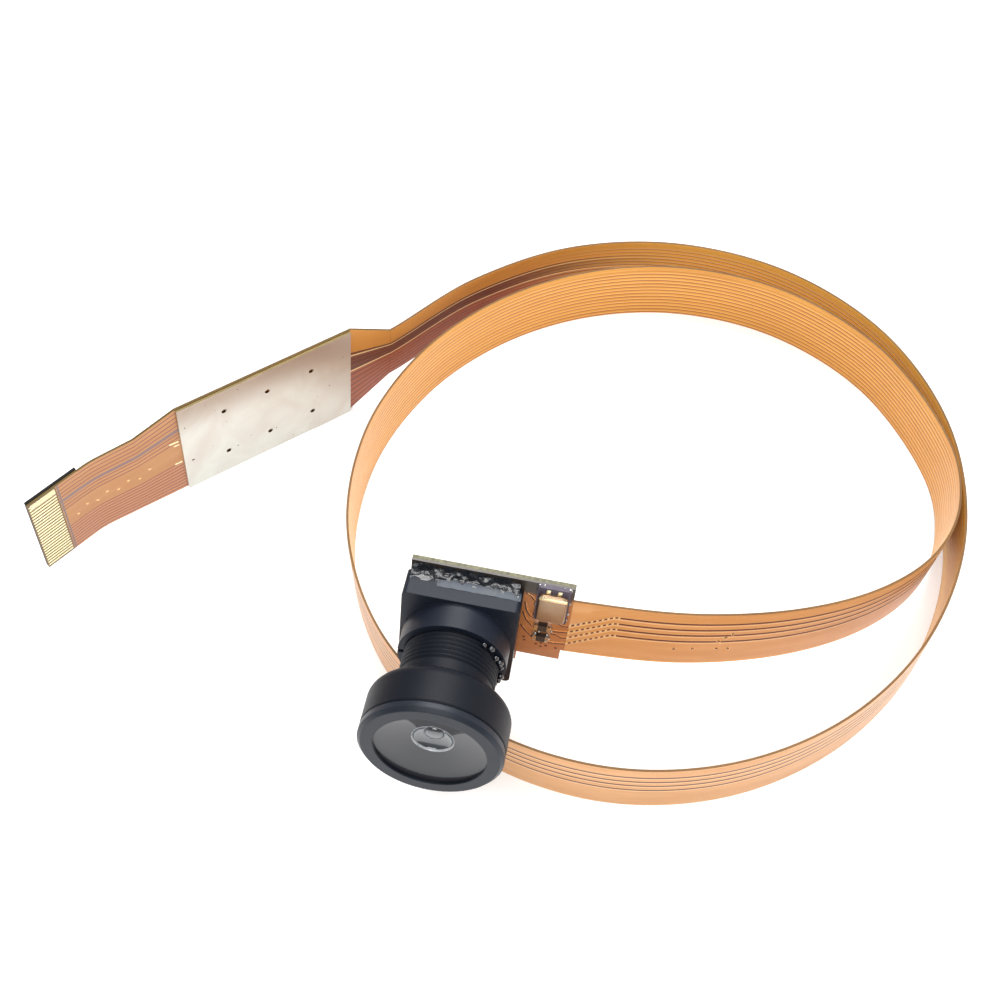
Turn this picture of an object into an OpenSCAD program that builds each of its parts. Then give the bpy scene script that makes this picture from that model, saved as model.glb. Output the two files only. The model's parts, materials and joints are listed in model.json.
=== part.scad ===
// Wide-angle camera module on a long flexible printed circuit.
// Millimetres. The flexible strip stands on its lower edge on the plane z = 0,
// wound into a loop, and carries the camera head at its inner end and a
// contact end at its outer end. The lens looks along -Y.

/* [Lens holder] */
// Side of the square moulded holder
holder_w = 11.3; // [10:0.1:13]
// Height of the holder's square base above the circuit
holder_base_h = 2.9; // [2.4:0.1:3.6]
// Wall of the holder's base
holder_wall = 0.8; // [0.6:0.1:1.2]
// Radius of the holder's upright corners
holder_corner_r = 0.5; // [0.2:0.1:1]
// Diameter of the round boss that takes the lens
boss_d = 10.6; // [10.4:0.1:11]
// Height of the boss above the base
boss_h = 2.7; // [2:0.1:3.5]
// Thickness of the web between the base's cavity and the boss
holder_web = 1.0; // [0.8:0.1:1.2]

/* [Lens barrel] */
// Outside diameter of the lens thread
thread_d = 9.3; // [8.8:0.1:9.5]
// Pitch of the lens thread
thread_pitch = 0.5; // [0.35:0.05:0.75]
// Depth of the thread
thread_depth = 0.22; // [0.15:0.01:0.3]
// Clearance of the thread in its bore, on the radius
thread_gap = 0.03; // [0.02:0.01:0.08]
// Height of the barrel's rear end above the web's underside
barrel_rear = 0.1; // [0:0.05:0.3]
// Length of thread that shows above the boss
thread_show = 3.0; // [2:0.1:4]
// Plain neck between the thread and the flared front
neck_h = 2.1; // [1.2:0.1:2.4]
// Outside diameter of the flared front
front_d = 13.7; // [13:0.1:15]
// Length of the flared front, behind its ring
front_h = 4.3; // [3.8:0.1:6.5]
// Radius of the flared front's rounded shoulder
shoulder_r = 1.2; // [0.8:0.05:1.6]

/* [Front ring] */
// Height of the ring that holds the front lens
ring_h = 1.05; // [0.8:0.05:1.4]
// Diameter of the ring's opening
ring_opening_d = 10.6; // [9.8:0.1:11]
// Bevel on the ring's outer edge
ring_bevel = 0.35; // [0.2:0.05:0.5]
// Thickness of the ring's lip over the front lens
ring_lip_t = 0.3; // [0.2:0.05:0.45]
// Chamfer on each side of the joint between ring and barrel
joint_chamfer = 0.15; // [0.1:0.05:0.3]

/* [Optics] */
// Diameter of the front lens
front_lens_d = 11.8; // [11.4:0.1:12.1]
// Edge thickness of the front lens
front_lens_edge = 1.9; // [1.6:0.1:2.2]
// Diameter of the hollow in the back of the front lens
front_hollow_d = 4.0; // [3:0.1:5]
// Diameter of the inner lenses
inner_lens_d = 7.0; // [6.4:0.1:7.2]
// Edge thickness of the second lens
second_lens_edge = 1.4; // [1:0.1:1.8]
// Edge thickness of the third lens
third_lens_edge = 1.3; // [1:0.1:1.6]
// Diameter of the rear lens
rear_lens_d = 5.8; // [5:0.1:6.2]
// Edge thickness of the rear lens
rear_lens_edge = 1.5; // [1:0.1:1.8]
// Height of the spacer between the second lens and the stop
spacer_h = 1.1; // [0.8:0.1:1.5]
// Thickness of the aperture stop
stop_t = 0.2; // [0.1:0.05:0.3]
// Diameter of the aperture
stop_d = 1.8; // [1:0.1:3]
// Opening of the light baffle towards the second lens
baffle_rear_d = 3.4; // [3:0.1:4.4]
// Opening of the light baffle towards the front lens
baffle_front_d = 5; // [4.6:0.1:6]
// Clearance of the lenses in the barrel, on the radius
lens_gap = 0.04; // [0.02:0.01:0.08]
// Thickness of the infrared filter
filter_t = 0.3; // [0.2:0.05:0.4]

/* [Head circuit] */
// Thickness of the flexible circuit
flex_t = 0.25; // [0.2:0.01:0.35]
// Thickness of the stiffener behind the head
head_stiffener_t = 0.4; // [0.3:0.05:0.8]
// Reach of the head board past the holder's right side
board_right = 4.8; // [4.6:0.1:6]
// Reach of the head board above the holder
board_top = 1.4; // [1:0.1:2.5]
// Side of the image sensor's package
sensor_w = 7.2; // [6:0.1:8]
// Thickness of the sensor package
sensor_t = 0.9; // [0.7:0.05:1]
// Side of the glass over the sensor
sensor_glass_w = 5.6; // [5:0.1:6]
// Thickness of the glass over the sensor
sensor_glass_t = 0.35; // [0.3:0.05:0.4]

/* [Crystal and chips] */
// Width of the crystal's ceramic base
crystal_w = 3.2; // [2.8:0.1:3.4]
// Length of the crystal's ceramic base
crystal_l = 5.0; // [4.4:0.1:5.2]
// Thickness of the ceramic base
crystal_base_t = 0.5; // [0.4:0.05:0.7]
// Thickness of the metal lid
crystal_lid_t = 0.45; // [0.3:0.05:0.6]
// Length of a chip capacitor
chip_l = 1.6; // [1.2:0.1:1.8]
// Width of a chip capacitor
chip_w = 0.8; // [0.5:0.05:0.9]
// Length of a chip's metal end
chip_end = 0.35; // [0.2:0.05:0.4]

/* [Strip] */
// Width of the long strip
strip_w = 8; // [7:0.1:9]
// Mean radius of the loop that the strip is wound into
loop_r = 33.4; // [32:0.1:35]
// How far the loop is out of round, on the radius
loop_oval = 0.5; // [0:0.1:1.5]
// How far the inner turn stands inside the outer one at the back
turn_gap = 4; // [1:0.1:6]

/* [Contact end] */
// Length of the steel plate
plate_l = 21; // [18:0.5:24]
// Width of the steel plate
plate_w = 14.7; // [13.5:0.1:15.5]
// Thickness of the steel plate
plate_t = 0.3; // [0.2:0.05:0.5]
// Diameter of the six small holes in the plate
plate_hole_d = 0.6; // [0.5:0.05:0.8]
// Length over which the strip widens to the plate
widen_l = 5.2; // [4:0.1:7]
// Length of the tail beyond the plate
tail_l = 17.6; // [16:0.1:20]
// Turn of the tail in front of its contacts, in degrees
tail_bend = 13; // [1:1:20]
// Number of contacts
contacts = 24; // [20:1:24]
// Pitch of the contacts
contact_pitch = 0.5; // [0.4:0.05:0.5]
// Width of a contact
contact_w = 0.32; // [0.25:0.01:0.35]
// Length of a contact
contact_l = 3.3; // [2.5:0.1:4]
// Thickness of a contact's gold
contact_t = 0.06; // [0.04:0.01:0.1]
// Length of the stiffener behind the contacts
end_stiffener_l = 6.2; // [5:0.1:8]
// Thickness of the stiffener behind the contacts
end_stiffener_t = 0.25; // [0.2:0.05:0.4]

/* [Placing] */
// Height of the lens axis at the holder's front face
head_z = 13.3; // [13.3:0.1:16]
// Lift of the lens above level, in degrees
nose_up = 11.5; // [8:0.5:14]
// Roll of the head, right side down, in degrees
head_roll = 3; // [0:0.5:6]

/* [Hidden] */
$fn = 96;

// Heights along the lens axis, from the holder's front face (0) outwards.
circuit_z = -holder_base_h;
sensor_top = circuit_z + sensor_t;
web_z = -holder_web;
barrel_z0 = web_z + barrel_rear;
thread_end = boss_h + thread_show;
flare_z = thread_end + neck_h;
ring_z = flare_z + front_h;
ring_top = ring_z + ring_h;
thread_r = thread_d / 2;
neck_r = thread_r - thread_depth / 2;
front_r = front_d / 2;

// Seats inside the barrel, from the rear lens forwards.
seat_lip = 0.6;
rear_seat_z = barrel_z0 + 2.8;
third_seat_z = rear_seat_z + 1.2;
rear_bore_r = rear_lens_d / 2 + lens_gap;
inner_bore_r = inner_lens_d / 2 + lens_gap;
front_bore_r = front_lens_d / 2 + lens_gap;
lens_clear_r = 2.2;
stop_z = third_seat_z + third_lens_edge;
spacer_z = stop_z + stop_t;
second_z = spacer_z + spacer_h;
baffle_z = second_z + second_lens_edge;
front_lens_top = ring_top - ring_lip_t - lens_gap;
front_seat_z = front_lens_top - front_lens_edge;
front_dome = 0.15;
retainer_h = 0.7;
arc_steps = 10;

// The head board, seen from the lens side.
board_left_x = -holder_w / 2 + 0.3;
board_right_x = holder_w / 2 + board_right;
board_top_y = holder_w / 2 + board_top;
board_bottom_y = -holder_w / 2;
ear_left_x = holder_w / 2 + 0.15;
ear_bottom_y = -4.35;
ear_step = 0.35;
strip_low_y = -2.8;

// Crystal and chips on the board's right side.
crystal_x = 8.5;
crystal_y = 4.6;
lid_w = crystal_w - 0.3;
lid_l = crystal_l - 1.1;
lid_shift = -0.25;
chip_x = 7.95;
chip_y = [0.75, -0.95];
chip_t = 0.5;

// Where the head, the loop and the contact end lie.
head_pos = [-1.91, -21.88, head_z];
loop_centre = [14.56, 2.38, 0.012];
tail_pos = [-21.54, 11.23, 0.03];
tail_heading = -136;
tail_rise = 5;
tail_lean = -2;
strip_v = 3.4;
joint_gap = 0.03;
rings = 80;

// ---- directions of the head and of the contact end ----

function turn_x(v, a) = [v.x, v.y * cos(a) - v.z * sin(a), v.y * sin(a) + v.z * cos(a)];
function turn_z(v, a) = [v.x * cos(a) - v.y * sin(a), v.x * sin(a) + v.y * cos(a), v.z];
function from_head(v) = head_pos + turn_x(turn_z(v, -head_roll), 90 - nose_up);
function head_dir(v) = turn_x(turn_z(v, -head_roll), 90 - nose_up);
function unit(v) = v / norm(v);

tail_u = [cos(tail_heading) * cos(tail_rise), sin(tail_heading) * cos(tail_rise), sin(tail_rise)];
tail_left = [-sin(tail_heading), cos(tail_heading), 0];
tail_flat_up = unit(cross(tail_u, tail_left));
tail_up = unit(tail_flat_up * cos(tail_lean) - tail_left * sin(tail_lean));
tail_n = cross(tail_up, tail_u);

// Places on the contact end: u along it, v across it, w out of its inner face.
// From bend_a it turns through tail_bend over the length bend_len.
tail_u_end = plate_l + tail_l;
end_u = tail_u_end - end_stiffener_l;
bend_len = 2.4;
bend_a = end_u - bend_len;
bend_r = bend_len / (tail_bend * PI / 180);
function bend_angle(u) = tail_bend * max(0, min(1, (u - bend_a) / bend_len));
function bend_along(u) =
    u <= bend_a ? u
    : bend_a + bend_r * sin(bend_angle(u)) + max(0, u - bend_a - bend_len) * cos(tail_bend);
function bend_off(u) =
    u <= bend_a ? 0
    : bend_r * (1 - cos(bend_angle(u))) + max(0, u - bend_a - bend_len) * sin(tail_bend);
function on_tail(u, v, w) =
    tail_pos
    + tail_u * (bend_along(u) - w * sin(bend_angle(u)))
    + tail_up * v
    + tail_n * (bend_off(u) + w * cos(bend_angle(u)));

// ---- the strip's route ----

function ease(t) = t <= 0 ? 0 : t >= 1 ? 1 : t * t * (3 - 2 * t);

// Ends of the strip's lower edge: at the head board and at the contact end's neck.
neck_u = -widen_l - 0.2;
exit_low = from_head([board_right_x + joint_gap, strip_low_y, circuit_z - flex_t / 2]);
neck_low = on_tail(neck_u - joint_gap, strip_v, 0);

// Round the loop the place is an angle, anticlockwise from the right, that goes on
// counting past a full turn. The swing from the head joins the loop at join_at, the
// inner turn stands inside from gap_from to gap_to, and past rise_from the strip
// lifts off the table towards the neck.
join_at = 380;
gap_from = 340;
gap_to = 600;
rise_from = 790;
oval_at = 45;
neck_at = 720 + atan2(neck_low.y - loop_centre.y, neck_low.x - loop_centre.x);
lean_at = [[join_at, 4], [505, 3], [640, -5], [755, 4], [868, -2]];

function dip(a) = (1 - cos(360 * max(0, min(1, (a - gap_from) / (gap_to - gap_from))))) / 2;
function lift(a) = neck_low.z * pow(max(0, (a - rise_from) / (neck_at - rise_from)), 2);
function turn_r(a) = loop_r + loop_oval * cos(2 * (a - oval_at)) - turn_gap * dip(a);
function turn_low(a) = loop_centre + [turn_r(a) * cos(a), turn_r(a) * sin(a), lift(a)];
function turn_up(a) = let (lean = lookup(a, lean_at))
    [cos(a) * sin(lean), sin(a) * sin(lean), cos(lean)];

// The swing from the head to the loop: a curve set by its two ends, their
// directions and how strongly each end pulls.
exit_pull = 68;
join_pull = 58;
exit_way = head_dir([1, 0, 0]);
exit_up = head_dir([0, 1, 0]);
join_way = unit(turn_low(join_at + 1) - turn_low(join_at - 1));
function swing_low(t) =
    exit_low * (1 - ease(t)) + turn_low(join_at) * ease(t)
    + exit_way * exit_pull * t * (1 - t) * (1 - t) - join_way * join_pull * t * t * (1 - t);
function swing_up(t) = unit(exit_up * (1 - ease(t)) + turn_up(join_at) * ease(t));

swing_steps = 6;
turn_steps = 22;
turn_step = (neck_at - join_at) / turn_steps;
lead = 8;
swing = [for (k = [1:swing_steps - 1]) k / swing_steps];
turns = [for (k = [0:turn_steps - 1]) join_at + k * turn_step];
lows = concat([exit_low - exit_way * lead, exit_low], [for (t = swing) swing_low(t)],
              [for (a = turns) turn_low(a)], [neck_low, neck_low + tail_u * lead]);
ups = concat([exit_up, exit_up], [for (t = swing) swing_up(t)],
             [for (a = turns) turn_up(a)], [tail_up, tail_up]);
spans = len(lows) - 3;

// A smooth curve through the points, and its direction.
function blend(p, i, t) = let (a = p[i], b = p[i + 1], c = p[i + 2], d = p[i + 3])
    (2 * b + (c - a) * t + (2 * a - 5 * b + 4 * c - d) * t * t
     + (3 * b - a - 3 * c + d) * t * t * t) / 2;
function slope(p, i, t) = let (a = p[i], b = p[i + 1], c = p[i + 2], d = p[i + 3])
    ((c - a) + 2 * (2 * a - 5 * b + 4 * c - d) * t
     + 3 * (3 * b - a - 3 * c + d) * t * t) / 2;
function on_table(p) = [p.x, p.y, max(p.z, loop_centre.z)];
function strip_ring(s) =
    let (i = min(floor(s), spans - 1),
         t = s - i,
         low = on_table(blend(lows, i, t)),
         up = unit(blend(ups, i, t)),
         side = unit(cross(slope(lows, i, t), up)) * flex_t / 2,
         high = low + up * strip_w)
    [low + side, high + side, high - side, low - side];

// A closed solid through rings of four points each.
module band(r) {
    n = len(r);
    pts = [for (q = r) each q];
    walls = [for (i = [0:n - 2]) for (k = [0:3])
             let (j = (k + 1) % 4)
             each [[4 * i + k, 4 * i + j, 4 * i + 4 + j], [4 * i + k, 4 * i + 4 + j, 4 * i + 4 + k]]];
    last = 4 * (n - 1);
    ends = [[0, 2, 1], [0, 3, 2], [last, last + 1, last + 2], [last, last + 2, last + 3]];
    polyhedron(points = pts, faces = concat(walls, ends), convexity = 10);
}

module at_head() {
    translate(head_pos) rotate([90 - nose_up, 0, 0]) rotate([0, 0, -head_roll]) children();
}

module at_tail() {
    multmatrix([[tail_u.x, tail_up.x, tail_n.x, tail_pos.x],
                [tail_u.y, tail_up.y, tail_n.y, tail_pos.y],
                [tail_u.z, tail_up.z, tail_n.z, tail_pos.z],
                [0, 0, 0, 1]]) children();
}

// A square with rounded corners, centred on the origin.
module rounded_square(w, l, r) {
    square([w - 2 * r, l], center = true);
    square([w, l - 2 * r], center = true);
    for (sx = [-1, 1], sy = [-1, 1])
        translate([sx * (w / 2 - r), sy * (l / 2 - r)]) circle(r, $fn = 48);
}

// ---- lens holder ----

module lens_holder() {
    cavity = holder_w - 2 * holder_wall;
    notch_w = 0.5;
    notch_h = 0.45;
    color("#15171b") at_head() difference() {
        union() {
            translate([0, 0, circuit_z])
                linear_extrude(holder_base_h) rounded_square(holder_w, holder_w, holder_corner_r);
            cylinder(h = boss_h, d = boss_d);
        }
        translate([0, 0, circuit_z - 1])
            linear_extrude(1 + holder_base_h - holder_web)
                rounded_square(cavity, cavity, holder_corner_r);
        translate([0, 0, web_z - 1])
            cylinder(h = boss_h + holder_web + 2, r = thread_r + thread_gap);
        translate([-boss_d / 2 - 1, -notch_w / 2, boss_h - notch_h])
            cube([boss_d / 2, notch_w, 1]);
    }
}

// ---- lens barrel, turned with its thread, neck and flared front ----

module lens_barrel() {
    teeth = floor((thread_end - barrel_z0) / thread_pitch);
    root_r = thread_r - thread_depth;
    thread = [for (k = [0:teeth - 1])
              let (z = barrel_z0 + k * thread_pitch)
              each [[root_r, z], [thread_r, z + thread_pitch * 0.4],
                    [thread_r, z + thread_pitch * 0.6]]];
    shoulder = [for (k = [0:arc_steps])
                let (a = 90 * k / arc_steps)
                [front_r - shoulder_r + shoulder_r * sin(a),
                 flare_z + shoulder_r - shoulder_r * cos(a)]];
    rim = [[front_r, ring_z - joint_chamfer], [front_r - joint_chamfer, ring_z]];
    bore = [[front_bore_r, ring_z], [front_bore_r, front_seat_z], [inner_bore_r, front_seat_z],
            [inner_bore_r, third_seat_z], [rear_bore_r - seat_lip, third_seat_z],
            [rear_bore_r - seat_lip, rear_seat_z], [rear_bore_r, rear_seat_z],
            [rear_bore_r, barrel_z0]];
    color("#1b1e24") at_head() rotate_extrude()
        polygon(concat(thread,
                       [[root_r, barrel_z0 + teeth * thread_pitch], [neck_r, thread_end],
                        [neck_r, flare_z]],
                       shoulder, rim, bore));
}

module front_ring() {
    lip_z = ring_top - ring_lip_t;
    color("#2a2e35") at_head() rotate_extrude()
        polygon([[front_bore_r, ring_z], [front_r - joint_chamfer, ring_z],
                 [front_r, ring_z + joint_chamfer], [front_r, ring_top - ring_bevel],
                 [front_r - ring_bevel, ring_top], [ring_opening_d / 2, ring_top],
                 [ring_opening_d / 2, lip_z], [front_bore_r, lip_z]]);
}

// ---- optics ----

// Points of a lens face from the edge to the axis: a flat flange down to the
// clear radius, then a dome or a hollow whose height at the axis is rise.
function face(r, clear, z, rise) =
    concat([[r, z]],
           [for (k = [0:arc_steps])
            let (q = 1 - k / arc_steps) [clear * q, z + rise * (1 - q * q)]]);

module lens(r, clear, z0, z1, rise0, rise1) {
    rear = face(r, clear, z0, rise0);
    front = face(r, clear, z1, rise1);
    rotate_extrude()
        polygon(concat([for (k = [len(rear) - 1:-1:0]) rear[k]], front));
}

// Front lens: shallow dome outside, a deep hollow in its back.
module front_lens() {
    r = front_lens_d / 2;
    hollow_r = front_hollow_d / 2;
    hollow = [for (k = [0:arc_steps]) let (a = 70 * k / arc_steps)
              [hollow_r * sin(a) / sin(70),
               front_seat_z + hollow_r * (cos(a) - cos(70)) / sin(70) * 0.55]];
    color("#6d7276", 0.9) at_head() rotate_extrude()
        polygon(concat(hollow, [[r, front_seat_z]],
                       face(r, ring_opening_d / 2 - 0.1, front_lens_top, front_dome)));
}

module light_baffle() {
    r = inner_lens_d / 2;
    throat = 0.8;
    color("#0d0e10") at_head() rotate_extrude()
        polygon([[baffle_rear_d / 2, baffle_z], [r, baffle_z], [r, front_seat_z],
                 [baffle_front_d / 2, front_seat_z], [baffle_rear_d / 2, baffle_z + throat]]);
}

module second_lens() {
    color("#b9c4cc", 0.6) at_head()
        lens(inner_lens_d / 2, lens_clear_r, second_z, baffle_z, 0.35, -0.25);
}

module spacer_ring() {
    r = inner_lens_d / 2;
    color("#0d0e10") at_head() rotate_extrude()
        polygon([[r - 1.1, spacer_z], [r, spacer_z], [r, second_z], [r - 1.1, second_z]]);
}

module aperture_stop() {
    r = inner_lens_d / 2;
    color("#0a0a0b") at_head() rotate_extrude()
        polygon([[stop_d / 2, spacer_z], [stop_d / 2 + 0.1, stop_z], [r, stop_z],
                 [r, spacer_z]]);
}

module third_lens() {
    color("#b9c4cc", 0.6) at_head()
        lens(inner_lens_d / 2, lens_clear_r, third_seat_z, stop_z, -0.3, -0.2);
}

module rear_lens() {
    color("#b9c4cc", 0.6) at_head()
        lens(rear_lens_d / 2, lens_clear_r, rear_seat_z - rear_lens_edge, rear_seat_z, -0.25, 0.3);
}

module rear_retainer() {
    z1 = rear_seat_z - rear_lens_edge;
    color("#0d0e10") at_head() rotate_extrude()
        polygon([[2.2, z1 - retainer_h], [rear_bore_r - lens_gap, z1 - retainer_h],
                 [rear_bore_r - lens_gap, z1], [2.5, z1]]);
}

module infrared_filter() {
    color("#7a4a58", 0.7) at_head()
        translate([0, 0, barrel_z0 - filter_t]) cylinder(h = filter_t, d = rear_lens_d + 1.4);
}

// ---- sensor and head circuit ----

module sensor_package() {
    pocket = 0.2;
    color("#2c2f2b") at_head() difference() {
        translate([0, 0, circuit_z + sensor_t / 2])
            cube([sensor_w, sensor_w, sensor_t], center = true);
        translate([-sensor_glass_w / 2, -sensor_glass_w / 2, sensor_top - pocket])
            cube([sensor_glass_w, sensor_glass_w, 1]);
    }
}

module sensor_glass() {
    pocket = 0.2;
    color("#98a4a8", 0.7) at_head()
        translate([0, 0, sensor_top - pocket + sensor_glass_t / 2])
            cube([sensor_glass_w, sensor_glass_w, sensor_glass_t], center = true);
}

module board_outline(ear) {
    polygon([[board_left_x, board_bottom_y], [ear_left_x, board_bottom_y],
             [ear_left_x, ear], [board_right_x - ear_step, ear],
             [board_right_x - ear_step, strip_low_y], [board_right_x, strip_low_y],
             [board_right_x, board_top_y], [board_left_x, board_top_y]]);
}

module head_circuit() {
    color("#c98035") at_head() translate([0, 0, circuit_z - flex_t])
        linear_extrude(flex_t) board_outline(ear_bottom_y);
}

module head_stiffener() {
    color("#4c4a30") at_head() translate([0, 0, circuit_z - flex_t - head_stiffener_t])
        linear_extrude(head_stiffener_t) board_outline(strip_low_y - 0.3);
}

module crystal_base() {
    color("#54495a") at_head() translate([crystal_x, crystal_y, circuit_z])
        linear_extrude(crystal_base_t) rounded_square(crystal_w, crystal_l, 0.25);
}

module crystal_lid() {
    color("#a38a6d") at_head()
        translate([crystal_x, crystal_y + lid_shift, circuit_z + crystal_base_t])
            linear_extrude(crystal_lid_t) rounded_square(lid_w, lid_l, 0.4);
}

module crystal_pads() {
    pad = [0.35, 0.35, 0.05];
    pad_y = crystal_y + crystal_l / 2 - 0.45;
    color("#e8b84a") at_head()
        for (s = [-1, 1])
            translate([crystal_x + s * 0.55 - pad.x / 2, pad_y - pad.y / 2,
                       circuit_z + crystal_base_t])
                cube(pad);
}

module chip_bodies() {
    mid = chip_l - 2 * chip_end;
    color("#3a3430") at_head()
        for (y = chip_y)
            translate([chip_x, y, circuit_z + chip_t / 2]) cube([mid, chip_w, chip_t], center = true);
}

module chip_ends() {
    color("#c9c9c6") at_head()
        for (y = chip_y, s = [-1, 1])
            translate([chip_x + s * (chip_l - chip_end) / 2, y, circuit_z + chip_t / 2])
                cube([chip_end, chip_w, chip_t], center = true);
}

// ---- glue ----

// Bead along the joint between the holder's top side and the head board.
module holder_glue() {
    bead_w = board_top - 0.25;
    bead_h = 1.1;
    span = holder_w - 0.8;
    y0 = holder_w / 2;
    bow = [for (k = [0:6]) let (a = 90 * k / 6)
           [y0 + bead_w * (1 - sin(a)), circuit_z + bead_h * (1 - cos(a))]];
    color("#101216") at_head() translate([-span / 2, 0, 0]) rotate([90, 0, 90])
        linear_extrude(span)
            polygon(concat([[y0, circuit_z]], bow));
}

// Bead on the boss's rim where the thread is locked.
module thread_glue() {
    bead_r = 0.45;
    grow = 0.06;
    first = -40;
    apart = 16;
    color("#101216") at_head() difference() {
        for (k = [0:2])
            rotate([0, 0, first + k * apart]) translate([thread_r + 0.3, 0, boss_h + bead_r * 0.4])
                sphere(r = bead_r + k * grow, $fn = 20);
        translate([0, 0, -1]) cylinder(h = boss_h + 1, d = boss_d + 1);
        cylinder(h = thread_end, r = thread_r);
    }
}

// ---- the long strip and the contact end ----

module flex_strip() {
    color("#cf8540") band([for (k = [0:rings - 1]) strip_ring(spans * k / (rings - 1))]);
}

// Lower and upper edges of the contact end at a distance u along it. It widens
// from the strip to the plate, falls at its upper edge past the plate, and carries
// the contacts on its last stretch.
tail_ends_w = contacts * contact_pitch + 0.5;
end_top = plate_w - 2.2;
end_low = end_top - tail_ends_w;
neck_high = strip_v + strip_w;
plate_low = 0.1;
plate_high = plate_w + 0.1;
wide_u = neck_u + widen_l;
kink_u = plate_l + 5;
kink_high = end_top + 0.4;
tail_high = end_top - 0.1;
low_at = [[neck_u, strip_v], [wide_u, plate_low], [plate_l, plate_low], [end_u, end_low]];
high_at = [[neck_u, neck_high], [wide_u, plate_high], [plate_l, plate_high],
           [kink_u, kink_high], [end_u, tail_high], [end_u + 0.2, end_top]];
function low_edge(u) = lookup(u, low_at);
function high_edge(u) = lookup(u, high_at);
bend_steps = 6;
stations = concat([neck_u, wide_u, plate_l, kink_u],
                  [for (k = [0:bend_steps - 1]) bend_a + k * bend_len / bend_steps],
                  [end_u, end_u + 0.2, tail_u_end]);

module tail_band(us, low, high, w0, w1) {
    band([for (k = [0:len(us) - 1])
          [on_tail(us[k], low[k], w0), on_tail(us[k], high[k], w0),
           on_tail(us[k], high[k], w1), on_tail(us[k], low[k], w1)]]);
}

module flex_tail() {
    color("#c77f3c")
        tail_band(stations, [for (u = stations) low_edge(u)],
                  [for (u = stations) high_edge(u)], -flex_t / 2, flex_t / 2);
}

module steel_plate() {
    color("#c4c2ba") at_tail() translate([0, 0, flex_t / 2]) difference() {
        cube([plate_l, plate_w, plate_t]);
        for (u = [0.24, 0.5, 0.75], v = [0.25, 0.76])
            translate([plate_l * u, plate_w * v, -1]) cylinder(h = 2, d = plate_hole_d, $fn = 24);
    }
}

module end_stiffener() {
    us = [end_u, tail_u_end];
    over = 0.15;
    color("#1a1a1a")
        tail_band(us, [end_low, end_low], [end_top + over, end_top + over],
                  -flex_t / 2 - end_stiffener_t, -flex_t / 2);
}

module contact_fingers() {
    us = [tail_u_end - contact_l, tail_u_end - 0.1];
    first = end_low + 0.5;
    color("#e6c15a")
        for (k = [0:contacts - 1]) {
            v = first + k * contact_pitch;
            lo = v - contact_w / 2;
            hi = v + contact_w / 2;
            tail_band(us, [lo, lo], [hi, hi], flex_t / 2, flex_t / 2 + contact_t);
        }
}

lens_holder();
lens_barrel();
front_ring();
front_lens();
light_baffle();
second_lens();
spacer_ring();
aperture_stop();
third_lens();
rear_lens();
rear_retainer();
infrared_filter();
sensor_package();
sensor_glass();
head_circuit();
head_stiffener();
crystal_base();
crystal_lid();
crystal_pads();
chip_bodies();
chip_ends();
holder_glue();
thread_glue();
flex_strip();
flex_tail();
steel_plate();
end_stiffener();
contact_fingers();
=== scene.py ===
import json
from math import atan2, cos, degrees, pi, radians, sin

import bpy
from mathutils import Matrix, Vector, noise


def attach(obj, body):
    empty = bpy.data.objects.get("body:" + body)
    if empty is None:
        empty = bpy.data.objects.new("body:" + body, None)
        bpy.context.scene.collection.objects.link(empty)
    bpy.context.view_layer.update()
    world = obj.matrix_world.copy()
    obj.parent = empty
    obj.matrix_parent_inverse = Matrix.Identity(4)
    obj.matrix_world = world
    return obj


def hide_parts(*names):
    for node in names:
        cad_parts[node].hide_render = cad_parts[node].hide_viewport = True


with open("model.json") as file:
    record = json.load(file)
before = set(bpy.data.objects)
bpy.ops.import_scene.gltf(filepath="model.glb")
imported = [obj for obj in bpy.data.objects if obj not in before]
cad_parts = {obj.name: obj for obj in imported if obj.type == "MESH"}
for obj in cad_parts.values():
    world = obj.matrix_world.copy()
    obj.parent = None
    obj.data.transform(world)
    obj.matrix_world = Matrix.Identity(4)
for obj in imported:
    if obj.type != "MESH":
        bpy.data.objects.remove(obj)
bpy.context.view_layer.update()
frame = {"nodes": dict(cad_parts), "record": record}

mounts = {m["name"]: m for m in frame["record"]["mounts"]}
nodes = frame["nodes"]
MM = 0.001
scene = bpy.context.scene
scene.view_settings.view_transform = "Standard"


# ---- Camera, floor and lamps ----
# A plain pale table under soft white light from above and behind, with a fill from
# the front. The camera looks down at the module from the lens side.
def linear(hex_colour):
    """An sRGB hex colour as linear red, green, blue and alpha."""
    parts = [int(hex_colour[i:i + 2], 16) / 255 for i in (1, 3, 5)]
    return [c / 12.92 if c <= 0.04045 else ((c + 0.055) / 1.055) ** 2.4 for c in parts] + [1.0]


def add(tree, kind, inputs=None, **settings):
    """Adds a node. settings are its own options, inputs are values or sockets to link."""
    made = tree.nodes.new(kind)
    for name, value in settings.items():
        setattr(made, name, value)
    for key, value in (inputs or {}).items():
        if isinstance(value, bpy.types.NodeSocket):
            tree.links.new(value, made.inputs[key])
        else:
            made.inputs[key].default_value = value
    return made


def clouds(tree, scale, detail=2.0, distortion=0.0):
    """Noise from 0 to 1 over a piece's own places, with scale in rounds per mm."""
    place = add(tree, "ShaderNodeTexCoord").outputs["Object"]
    return add(tree, "ShaderNodeTexNoise", {"Vector": place, "Scale": scale / MM,
                                            "Detail": detail,
                                            "Distortion": distortion}).outputs[0]


def between(tree, value, low, high):
    """Turns a value from 0 to 1 into one from low to high."""
    return add(tree, "ShaderNodeMapRange", {"Value": value, "To Min": low,
                                            "To Max": high}).outputs[0]


def bumped(tree, height, strength, distance, under=None):
    """The direction of a surface with bumps of distance mm, over another if given."""
    inputs = {"Height": height, "Strength": strength, "Distance": distance * MM}
    if under is not None:
        inputs["Normal"] = under
    return add(tree, "ShaderNodeBump", inputs).outputs[0]


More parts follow.
